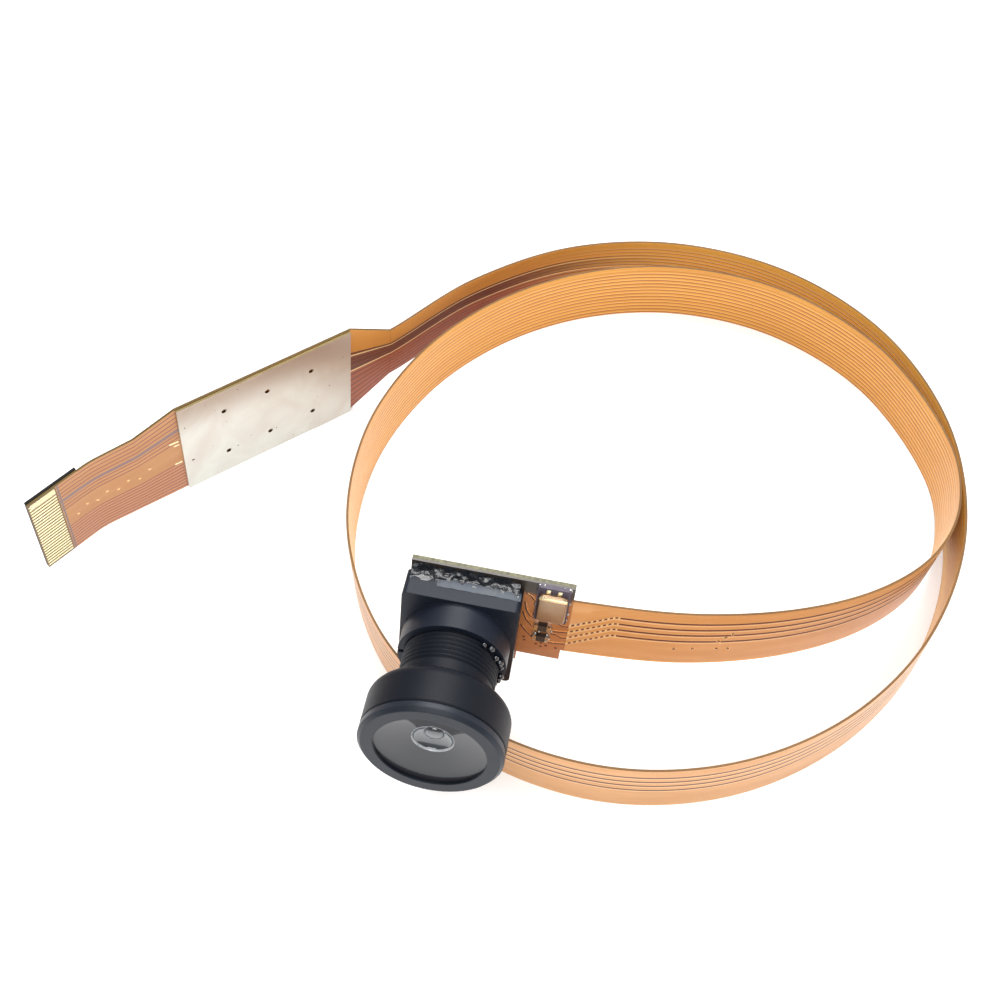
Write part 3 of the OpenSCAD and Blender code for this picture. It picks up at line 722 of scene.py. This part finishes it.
tarnish = add(tree, "ShaderNodeMapRange", {"Value": height,
                                           "From Min": (plate_foot + TARNISH_FROM) * MM,
                                           "From Max": (plate_foot + TARNISH_TO) * MM,
                                           "To Max": 0.75},
              interpolation_type="SMOOTHSTEP").outputs[0]
haze = add(tree, "ShaderNodeMapRange", {"Value": cloud, "From Min": 0.4,
                                        "From Max": 0.75, "To Max": 0.7}).outputs[0]
edge_dirt = add(tree, "ShaderNodeMapRange", {"Value": speck, "From Min": 0.74,
                                             "From Max": 0.76}).outputs[0]
# painted shade on the upward faces of the plate's top edge
shape = add(tree, "ShaderNodeNewGeometry")
upward = add(tree, "ShaderNodeVectorMath", {0: shape.outputs["Normal"], 1: tail_v},
             operation="DOT_PRODUCT").outputs["Value"]
painted_shade_top_edge = add(tree, "ShaderNodeMath", {0: upward, 1: 0.7}, operation="GREATER_THAN").outputs[0]
tint = layered(tree, linear("#DADAD2"), [(haze, "#CCC3B9"), (tarnish, "#A38C7A"),
                                         (edge_dirt, "#5C5044"), (painted_shade_top_edge, "#5E5234")])
rough = between(tree, brush.outputs[0], 0.34, 0.5)
bump = bumped(tree, brush.outputs[0], 0.25, 0.012)
surface(tree, {"Base Color": tint, "Metallic": 0.85, "Roughness": rough, "Normal": bump})
dress("steel_plate", plate_steel)

# Hard gold over nickel: pale cream yellow, bright, with a slightly uneven plating.
gold, tree = material("gold plating")
plating = clouds(tree, 2.5)
rough = between(tree, plating, 0.2, 0.36)
tint = layered(tree, linear("#FCF3D4"), [(plating, "#F6E2A6")])
surface(tree, {"Base Color": tint, "Metallic": 0.9, "Roughness": rough})
CONTACT_INSET = 0.05
points, faces = [], []
for k in range(CONTACTS):
    v = END_LOW + CONTACT_PITCH * (k + 1)
    pillow(points, faces,
           lambda x, y, z: at_tail(TAIL_END - CONTACT_L / 2 + x, v + y, FILM_T / 2 + z),
           CONTACT_L - 2 * CONTACT_INSET, CONTACT_W, 0.1,
           ((0.0, 0.0), (0.0, 0.03), (0.03, 0.045)))
fingers = piece("gold_contacts", points, faces, gold)
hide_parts("contact_fingers")

# Gold left bare beside the contacts and at the plate's edge, on the film's face. Each
# is (u, v, length along u, width).
points, faces = [], []
for u, v, length, width in ((TAIL_END - 1.75, END_TOP - 0.62, 3.0, 0.85),
                            (PLATE_L + 0.75, 9.2, 1.1, 0.28), (PLATE_L + 0.5, 8.6, 0.7, 0.24),
                            (PLATE_L + 0.6, 5.3, 0.9, 0.28)):
    pillow(points, faces, lambda x, y, z: at_tail(u + x, v + y, FILM_T / 2 + z),
           length, width, 0.12, ((0, 0), (0, 0.03), (0.02, 0.045)))
piece("gold_marks", points, faces, gold)

# Plated stitching holes through the ground plane, in two staggered rows, seen as low
# bright bumps.
STITCHES, STITCH_FROM, STITCH_STEP = 8, 24.9, 1.25
STITCH_SHARE, STAGGER = 0.49, 0.05
DOME = [(0.0, 0.05), (0.08, 0.045), (0.14, 0.03), (0.19, 0.0)]
points, faces = [], []
for k in range(STITCHES):
    u, share = STITCH_FROM + k * STITCH_STEP, STITCH_SHARE - STAGGER * (k % 2)
    turned(points, faces, DOME,
           lambda x, y, z: at_share(u, share, FILM_T / 2 + z) + tail_u * x + tail_v * y, steps=14)
bare_copper, tree = material("bare rolled copper")
drift = clouds(tree, 2.0)
tint = layered(tree, linear("#F0C490"), [(drift, "#DDA66C")])
surface(tree, {"Base Color": tint, "Metallic": 0.8, "Roughness": 0.25})
piece("stitch_bumps", points, faces, bare_copper)

# Plated holes on the strip's outer face a little way from the head: a bright ring round a dark
# disc, painted shade for the depth of the hole.
VIA_RING = [(0.13, 0.0), (0.15, 0.03), (0.2, 0.03), (0.24, 0.0)]
VIA_HOLE = [(0.0, 0.012), (0.14, 0.01), (0.15, 0.0)]
points, faces, hole_points, hole_faces = [], [], [], []
for run, across in ((10.45, 2.4), (12.45, 2.5), (14.75, 2.5), (15.2, 3.7), (15.95, 2.4),
                    (15.6, 4.3), (16.3, 4.9)):
    low, up, right, _ = min(stations, key=lambda row: abs(row[3] - run))
    ahead = up.cross(right)

    def on_strip(x, y, z):
        return low + up * (across + y) + right * (FILM_T / 2 + TRACK_RISE + z) + ahead * x

    turned(points, faces, VIA_RING, on_strip, steps=14)
    turned(hole_points, hole_faces, VIA_HOLE, on_strip, steps=14)
piece("strip_via_rings", points, faces, bare_copper)

# Painted shade for the depth of a plated hole: dark brown and dull. The dark grooves and marks on
# the board use it too.
hole_brown, tree = material("dark plated hole")
drift = clouds(tree, 3.0)
tint = layered(tree, linear("#3A1E14"), [(drift, "#5A3020")])
surface(tree, {"Base Color": tint, "Roughness": 0.6})
piece("strip_via_holes", hole_points, hole_faces, hole_brown)

# Black polyimide backing: stiff film, matt and finely grained.
backing, tree = material("black backing film")
grain = clouds(tree, 5.0)
rough = between(tree, grain, 0.45, 0.65)
tint = layered(tree, linear("#0A0A0A"), [(grain, "#151412")])
surface(tree, {"Base Color": tint, "Roughness": rough, "Specular IOR Level": 0.2})
dress("end_stiffener", backing)

# The strip is the module's cable, and its far end is the contact end: the points of its centre
# line, and the middle of its start at the board's right.
centre_line = [(low + up * STRIP_W / 2) * MM for low, up, _, _ in stations]
at_head(BOARD_RIGHT, STRIP_LOW + STRIP_W / 2, BOARD_FACE) * MM


# ---- Head circuit ----
# The strip's inner end carries the sensor, on a stiff fibreglass board. Tracks lead from the chips
# to the strip, and small test pads sit on the tab below them. Its face turns dark brown towards
# its upper edge.
DARK_BAND_FROM, DARK_BAND_TO = 5.0, 5.5
board_film, tree = material("polyimide film, head")
spot = add(tree, "ShaderNodeTexCoord")
drift = clouds(tree, 0.7, 4.0)
height = add(tree, "ShaderNodeVectorMath", {0: spot.outputs["Object"], 1: head_y},
             operation="DOT_PRODUCT").outputs["Value"]
head_foot = head_pos.dot(head_y)
dark_upper_band = add(tree, "ShaderNodeMapRange", {"Value": height,
                                          "From Min": (head_foot + DARK_BAND_FROM) * MM,
                                          "From Max": (head_foot + DARK_BAND_TO) * MM})
tint = layered(tree, linear("#A6642F"), [(drift, "#C48046"), (dark_upper_band.outputs[0], "#2C2216")])
rough = between(tree, drift, 0.27, 0.45)
bump = bumped(tree, drift, 0.4, 0.05)
surface(tree, {"Base Color": tint, "Metallic": 0.3, "Roughness": rough,
               "IOR": FILM_IOR, "Normal": bump, "Coat Weight": 0.3})
dress("head_circuit", board_film)

# Glass-epoxy board: dark olive with a paler cellular weave.
epoxy, tree = material("glass-epoxy board")
spot = add(tree, "ShaderNodeTexCoord")
weave = add(tree, "ShaderNodeTexVoronoi", {"Vector": spot.outputs["Object"], "Scale": 2.4 / MM})
tint = layered(tree, linear("#3E3A26"), [(weave.outputs[0], "#7C7856")])
surface(tree, {"Base Color": tint, "Roughness": 0.45})
dress("head_stiffener", epoxy)


def ribbon(points, faces, route, width, rise):
    """Adds a flat track on the board's face, through the (x, y) places of the route."""
    rows = []
    for k, (x, y) in enumerate(route):
        before, after = route[max(0, k - 1)], route[min(len(route) - 1, k + 1)]
        way = Vector((after[0] - before[0], after[1] - before[1])).normalized()
        rows.append(len(points))
        for side, lift in ((-1, 0.0), (-1, rise), (1, rise), (1, 0.0)):
            points.append(at_head(x - way.y * side * width / 2, y + way.x * side * width / 2,
                                  BOARD_FACE + lift))
    for a, b in zip(rows, rows[1:]):
        faces.extend((a + k, b + k, b + k + 1, a + k + 1) for k in range(3))


# Tracks that stand bright beside dark bare grooves, as on the strip. The first four
# run on from the strip's grooves to the chips: each is (its start, its jog).
GROOVE_RISE, BRIGHT_W, BRIGHT_RISE = 0.02, 0.1, 0.035
points, faces, dark_points, dark_faces = [], [], [], []
for lane, (start, jog) in zip(GROOVES, ((8.6, -0.2), (8.9, 0.25), (8.7, -0.2), (8.8, 0.25))):
    y = STRIP_LOW + lane_place(lane, 0)
    route = [(start, y + jog), (start + 0.5, y + jog), (9.9, y - 0.1), (BOARD_RIGHT, y)]
    ribbon(dark_points, dark_faces, route, 0.16, GROOVE_RISE)
    ribbon(points, faces, [(x, v + 0.16) for x, v in route], BRIGHT_W, BRIGHT_RISE)
for route in (((5.85, 3.9), (6.1, 2.7), (6.5, 1.9), (7.1, 1.6)),
              ((5.8, 2.3), (6.2, 1.2), (6.8, 0.4), (7.3, 0.1)),
              ((5.8, 0.2), (6.3, -0.6), (7.2, -1.6), (8.4, -1.9)),
              ((5.85, 5.2), (6.3, 5.0), (6.7, 4.4))):
    ribbon(dark_points, dark_faces, route, 0.14, GROOVE_RISE)
    ribbon(points, faces, [(x + 0.15, y + 0.05) for x, y in route], BRIGHT_W, BRIGHT_RISE)
piece("board_tracks", points, faces, bare_copper)

# Small dark marks on the board, most of them on the tab, at (x, y) of the head.
for x, y in ((6.4, -2.2), (7.6, -2.5), (8.1, -2.2), (8.1, -2.75), (8.6, -2.5), (9.6, -2.6),
             (9.9, 1.6), (10.1, 2.4), (6.3, -1.7)):
    pillow(dark_points, dark_faces, lambda u, v, w: at_head(x + u, y + v, BOARD_FACE + w),
           0.26, 0.2, 0.06, ((0, 0), (0, 0.02), (0.02, 0.03)))
piece("board_grooves_and_pads", dark_points, dark_faces, hole_brown)


# ---- Crystal and chips ----
# A ceramic crystal package with a drawn metal lid and two gold pads, and two chip
# capacitors. All are soldered on, with small bright fillets at their corners.
CRYSTAL_X, CRYSTAL_Y = 8.5, 4.6
CRYSTAL_L, BASE_T = 5.0, 0.5


def on_crystal(off_x, off_y):
    """Places on the crystal's ceramic base, for a part centred at an offset there."""
    return lambda x, y, z: at_head(CRYSTAL_X + off_x + x, CRYSTAL_Y + off_y + y,
                                   BOARD_FACE + BASE_T + z)


ceramic, tree = material("fired ceramic")
grain = clouds(tree, 6.0, 3.0)
tint = layered(tree, linear("#352E3C"), [(grain, "#5A5060")])
bump = bumped(tree, grain, 0.3, 0.02)
surface(tree, {"Base Color": tint, "Roughness": 0.45, "Normal": bump})
dress("crystal_base", ceramic)
dress("sensor_package", ceramic)

# Drawn nickel-plated lid, faintly brushed: warm grey-brown, paler on its rounded edge.
lid_metal, tree = material("nickel-plated lid")
drift = clouds(tree, 0.5, 5.0)
rough = between(tree, drift, 0.24, 0.4)
tint = layered(tree, linear("#A58B70"), [(drift, "#8E7660")])
surface(tree, {"Base Color": tint, "Metallic": 0.9, "Roughness": rough})
LID_W, LID_L, LID_T, LID_SHIFT = 2.9, 3.9, 0.45, -0.25
points, faces = [], []
pillow(points, faces, on_crystal(0, LID_SHIFT), LID_W, LID_L, 0.5,
       ((0.0, 0.0), (0.0, LID_T * 0.5), (0.05, LID_T * 0.8), (0.16, LID_T * 0.97),
        (0.22, LID_T)))
lid = piece("crystal_lid_drawn", points, faces, lid_metal, angle=60)
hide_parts("crystal_lid")

# The gold: a low gold band along the lid's upper end, standing in as a painted highlight for the
# light its upper bevel catches, and two gold pads on the base above it.
BAND_DOWN, BAND_L, PAD_OUT, PAD_DOWN = 0.28, 0.52, 0.55, 0.45
points, faces = [], []
# painted highlight: the bright band of the lid's upper bevel, laid on as gold
pillow(points, faces, on_crystal(0, LID_SHIFT + LID_L / 2 - BAND_DOWN), LID_W - 0.15, BAND_L,
       0.2, ((0.0, LID_T), (0.0, LID_T + 0.02), (0.05, LID_T + 0.05)))
for side in (-PAD_OUT, PAD_OUT):
    pillow(points, faces, on_crystal(side, CRYSTAL_L / 2 - PAD_DOWN), 0.42, 0.55, 0.06,
           ((0.0, 0.0), (0.0, 0.04), (0.03, 0.06)))
pads = piece("crystal_gold", points, faces, gold)
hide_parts("crystal_pads")

# Bright tin solder: smooth, rounded and slightly lumpy.
tin, tree = material("bright tin solder")
lumps = clouds(tree, 3.0)
rough = between(tree, lumps, 0.1, 0.3)
bump = bumped(tree, lumps, 0.6, 0.06)
tint = layered(tree, linear("#DADAD6"), [(lumps, "#8E8C88")])
surface(tree, {"Base Color": tint, "Metallic": 1.0, "Roughness": rough, "Normal": bump})
dress("chip_ends", tin)


def lump(points, faces, centre, radius, squash, seed):
    """Adds a small uneven drop, at a place of the head. Each seed has its own form."""
    middle = at_head(*centre)
    round_part = [(radius * sin(pi * k / 8), -radius * squash * cos(pi * k / 8))
                  for k in range(1, 8)]
    sphere = [(0, -radius * squash), *round_part, (0, radius * squash)]

    def place(x, y, z):
        off = head_x * x + head_y * y + head_axis * z
        uneven = noise.noise((off / radius + Vector((seed, 2 * seed, 0))) * 1.3)
        return middle + off * (1 + 0.22 * uneven)

    turned(points, faces, sphere, place, steps=12)


# Fillets round the crystal, at (x, y) from its middle and with their radius, and
# round the two chips, at (x, y) of the head.
points, faces = [], []
for k, (x, y, radius) in enumerate((
        (-1.45, 2.3, 0.2), (1.45, 2.3, 0.24), (-1.55, 1.4, 0.14), (1.6, 0.4, 0.2),
        (1.55, -1.2, 0.22), (1.5, -2.2, 0.2), (-1.6, -0.6, 0.15), (-1.5, -2.25, 0.2),
        (-1.0, 2.42, 0.14), (0.9, 2.44, 0.13))):
    lump(points, faces, (CRYSTAL_X + x, CRYSTAL_Y + y, BOARD_FACE + 0.12), radius, 0.8, k)
for k, (x, y, radius) in enumerate((
        (7.3, 0.85, 0.22), (8.62, 0.75, 0.24), (7.25, -0.9, 0.26), (8.65, -1.0, 0.25),
        (7.7, -0.1, 0.16), (7.35, -0.5, 0.17), (8.5, -0.4, 0.15), (8.9, 0.2, 0.12))):
    lump(points, faces, (x, y, BOARD_FACE + 0.2), radius, 0.9, k + 20)
piece("solder_fillets", points, faces, tin, angle=60)

# Chip capacitors: a dark brown ceramic block with soft corners.
chip_body, tree = material("chip ceramic")
grain = clouds(tree, 4.0)
tint = layered(tree, linear("#1E1916"), [(grain, "#352B25")])
soft = add(tree, "ShaderNodeBevel", {"Radius": 0.06 * MM}, samples=4)
surface(tree, {"Base Color": tint, "Roughness": 0.3, "Normal": soft.outputs[0]})
dress("chip_bodies", chip_body)


# ---- Lens holder, barrel and front ring ----
# A black moulded holder, and a turned and anodised barrel with a blue-grey ring.
def black(name, dark, light, low, high, edge, gloss):
    """Black plastic or anodised metal with a fine grain. Its roughness lies between low
    and high, and its edges look rounded by edge mm."""
    made, tree = material(name)
    grain = clouds(tree, 4.0, 3.0)
    patches = clouds(tree, 0.25)
    tint = layered(tree, linear(dark), [(patches, light)])
    rough = between(tree, grain, low, high)
    soft = add(tree, "ShaderNodeBevel", {"Radius": edge * MM}, samples=4)
    bump = bumped(tree, grain, 0.12, 0.01, soft.outputs[0])
    surface(tree, {"Base Color": tint, "Roughness": rough,
                   "Specular IOR Level": gloss, "Normal": bump})
    return made


dress("lens_holder", black("moulded glass-filled nylon", "#12161F", "#1C2330", 0.34, 0.48,
                           0.12, 0.26))
dress("lens_barrel", black("black anodised aluminium", "#090D15", "#10151F", 0.42, 0.54,
                           0.05, 0.18))
dress("front_ring", black("satin anodised ring", "#151A23", "#1E2530", 0.34, 0.44, 0.16, 0.3))


# ---- Optics ----
# A coated front glass over a stack of smaller lenses in dead matt black mounts. Its
# curved back is blackened but for a clear hollow in the middle, and shows as a
# shallow dark funnel behind the polished face.
RING_TOP, GLASS_DROP, GLASS_EDGE = 13.15, 0.36, 1.2
GLASS_R, HOLLOW_R, HOLLOW_DEEP, PAINT_DEEP = 5.75, 2.0, 0.7, 1.15
GLASS_TOP = RING_TOP - GLASS_DROP
painted, tree = material("blackened coated glass")
bloom = clouds(tree, 0.18)
tint = layered(tree, linear("#26272C"), [(bloom, "#34353A")])
surface(tree, {"Base Color": tint, "Roughness": 0.42, "Specular IOR Level": 0.3,
               "Coat Weight": 0.7, "Coat Roughness": 0.04})
points, faces = [], []
funnel = [(HOLLOW_R + (GLASS_R - HOLLOW_R) * k / 12, GLASS_TOP - PAINT_DEEP * (1 - k / 12) ** 0.8)
          for k in range(13)]
turned(points, faces, [(GLASS_R, GLASS_TOP - GLASS_EDGE), *funnel[::-1]], at_head, steps=96)
front_glass = piece("front_glass", points, faces, painted, angle=50)
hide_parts("front_lens")

# The hollow: polished, and painted paler where its wall is seen at a grazing angle, a painted
# sheen that shows as a thin bright crescent, with the small second lens at its bottom.
hollow_glass, tree = material("polished hollow of the glass")
# painted sheen: paler towards a grazing view
painted_sheen = add(tree, "ShaderNodeLayerWeight", {"Blend": 0.35})
tint = layered(tree, linear("#24272C"), [(painted_sheen.outputs["Facing"], "#8E959B")])
surface(tree, {"Base Color": tint, "Roughness": 0.08, "IOR": 1.6, "Coat Weight": 1.0,
               "Coat Roughness": 0.02})
points, faces = [], []
rim_z = funnel[0][1]
turns = [radians(75 * k / 10) for k in range(11)]
bowl = [(HOLLOW_R * cos(turn), rim_z - HOLLOW_DEEP * sin(turn)) for turn in turns]
turned(points, faces, bowl + [(0, bowl[-1][1])], at_head, steps=64)
turned(points, faces, [(1.0, rim_z - 0.66), (0.95, rim_z - 0.5), (0.7, rim_z - 0.36),
                       (0.35, rim_z - 0.28), (0, rim_z - 0.26)], at_head, steps=48)
piece("front_glass_hollow", points, faces, hollow_glass, angle=50)

# The hollow's rim: a thin pale ring, a painted highlight for the light its polished edge catches.
ground, tree = material("pale glass rim, painted highlight")
rim_mottle = clouds(tree, 3.0)
tint = layered(tree, linear("#8E9296"), [(rim_mottle, "#D4D7DA")])
surface(tree, {"Base Color": tint, "Roughness": 0.25, "Coat Weight": 0.6})
points, faces = [], []
turned(points, faces, [(HOLLOW_R + 0.05, rim_z), (HOLLOW_R + 0.03, rim_z + 0.05),
                       (HOLLOW_R - 0.02, rim_z + 0.02), (HOLLOW_R - 0.06, rim_z - 0.16)],
       at_head, steps=64)
piece("front_glass_rim", points, faces, ground, angle=50)


# Clear crown glass, ground and polished, with the faintest cloud in its polish.
clear, tree = material("optical glass")
cloud = clouds(tree, 0.5)
rough = between(tree, cloud, 0.01, 0.03)
surface(tree, {"Base Color": linear("#F4F7F8"), "Roughness": rough, "IOR": 1.52,
               "Transmission Weight": 1.0})
for node in ("second_lens", "third_lens", "rear_lens", "sensor_glass", "infrared_filter"):
    dress(node, clear)

# Dead matt black paint inside the barrel: soot-like, with a fine dry grain.
inner_black, tree = material("dead matt black")
grain = clouds(tree, 5.0)
tint = layered(tree, linear("#0A0A0B"), [(grain, "#0E0E0F")])
surface(tree, {"Base Color": tint, "Roughness": 0.8})
for node in ("light_baffle", "spacer_ring", "aperture_stop", "rear_retainer"):
    dress(node, inner_black)


# ---- Glue ----
# Black epoxy: a lumpy glossy bead along the holder's top with a smooth satin fillet
# under it, and drops where the thread is locked.
epoxy_glue, tree = material("cured black epoxy")
lumps = clouds(tree, 2.1, 3.0, 0.8)
bump = bumped(tree, lumps, 0.9, 0.18)
tint = layered(tree, linear("#080A0D"), [(lumps, "#131921")])
surface(tree, {"Base Color": tint, "Roughness": 0.06, "Coat Weight": 0.8, "Normal": bump})
satin_glue, tree = material("smoothed blue-black epoxy")
drift = clouds(tree, 0.5, 3.0)
tint = layered(tree, linear("#1C2530"), [(drift, "#303C4B")])
rough = between(tree, drift, 0.3, 0.5)
surface(tree, {"Base Color": tint, "Roughness": rough})

# The bead: a hollow quarter round in the corner of board and holder, with lumps about
# a millimetre across and finer ones of a third of that.
HOLDER_HALF, BEAD_W, BEAD_H, BEAD_SPAN = 5.65, 1.15, 1.1, 10.5
BEAD_RINGS, BEAD_SIDES = 70, 12
rings = []
for k in range(BEAD_RINGS + 1):
    x = BEAD_SPAN * (k / BEAD_RINGS - 0.5)
    ring = [at_head(x, HOLDER_HALF, BOARD_FACE)]
    for j in range(BEAD_SIDES + 1):
        turn = pi / 2 * j / BEAD_SIDES
        y, z = BEAD_W * (1 - sin(turn)), BEAD_H * (1 - cos(turn))
        push = noise.noise(Vector((x * 1.1, y * 1.6, z * 1.6))) * 0.21
        push += noise.noise(Vector((x * 3.2, y * 4, z * 4 + 7))) * 0.07
        push *= sin(pi * (j + 0.5) / (BEAD_SIDES + 1))
        ring.append(at_head(x, HOLDER_HALF + y + push, BOARD_FACE + z + push))
    rings.append((ring, 0, [(0, 0, 0)] * len(ring)))
bead = skin("holder_bead", rings, end_slot=0, angle=70)
bead.data.materials.append(epoxy_glue)
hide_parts("holder_glue")
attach(bead, "root")

# The fillet: a thin smear on the holder's top side, thickest at the bead, that thins
# out at its two ends.
FILLET_FROM, FILLET_TO, FILLET_BACK, FILLET_FRONT = -2.9, 5.5, -2.35, -1.4
FILLET_STEPS, FILLET_SIDES = 28, 4
points, faces = [], []
for k in range(FILLET_STEPS + 1):
    x = FILLET_FROM + (FILLET_TO - FILLET_FROM) * k / FILLET_STEPS
    thin = min(1.0, k / 4, (FILLET_STEPS - k) / 3)
    wave = 0.07 * noise.noise(Vector((x * 1.5, 3, 0)))
    for j in range(FILLET_SIDES + 1):
        z = FILLET_BACK + (FILLET_FRONT - FILLET_BACK) * j / FILLET_SIDES
        rise = (0.05 + 0.09 * (1 - j / FILLET_SIDES) + wave) * thin - 0.02
        points.append(at_head(x, HOLDER_HALF + rise, z))
row = FILLET_SIDES + 1
for k in range(FILLET_STEPS):
    faces.extend((row * k + j, row * k + j + 1, row * (k + 1) + j + 1, row * (k + 1) + j)
                 for j in range(FILLET_SIDES))
piece("holder_fillet", points, faces, satin_glue, angle=60)

# The drops: a row of them round the right side of the thread, on the boss's rim.
THREAD_R, BOSS_TOP = 4.65, 2.7
DROPS, DROPS_FROM, DROPS_STEP = 11, -62, 11.5
points, faces = [], []
for k in range(DROPS):
    turn = radians(DROPS_FROM + DROPS_STEP * k)
    reach = THREAD_R + 0.2 + 0.16 * noise.noise(Vector((k * 0.7, 1, 0)))
    lump(points, faces, (reach * cos(turn), reach * sin(turn), BOSS_TOP + 0.15 + 0.2 * (k % 3)),
         0.3 + 0.08 * (k % 2), 0.9, k + 40)
drops = piece("thread_drops", points, faces, epoxy_glue, angle=60)
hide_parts("thread_glue")
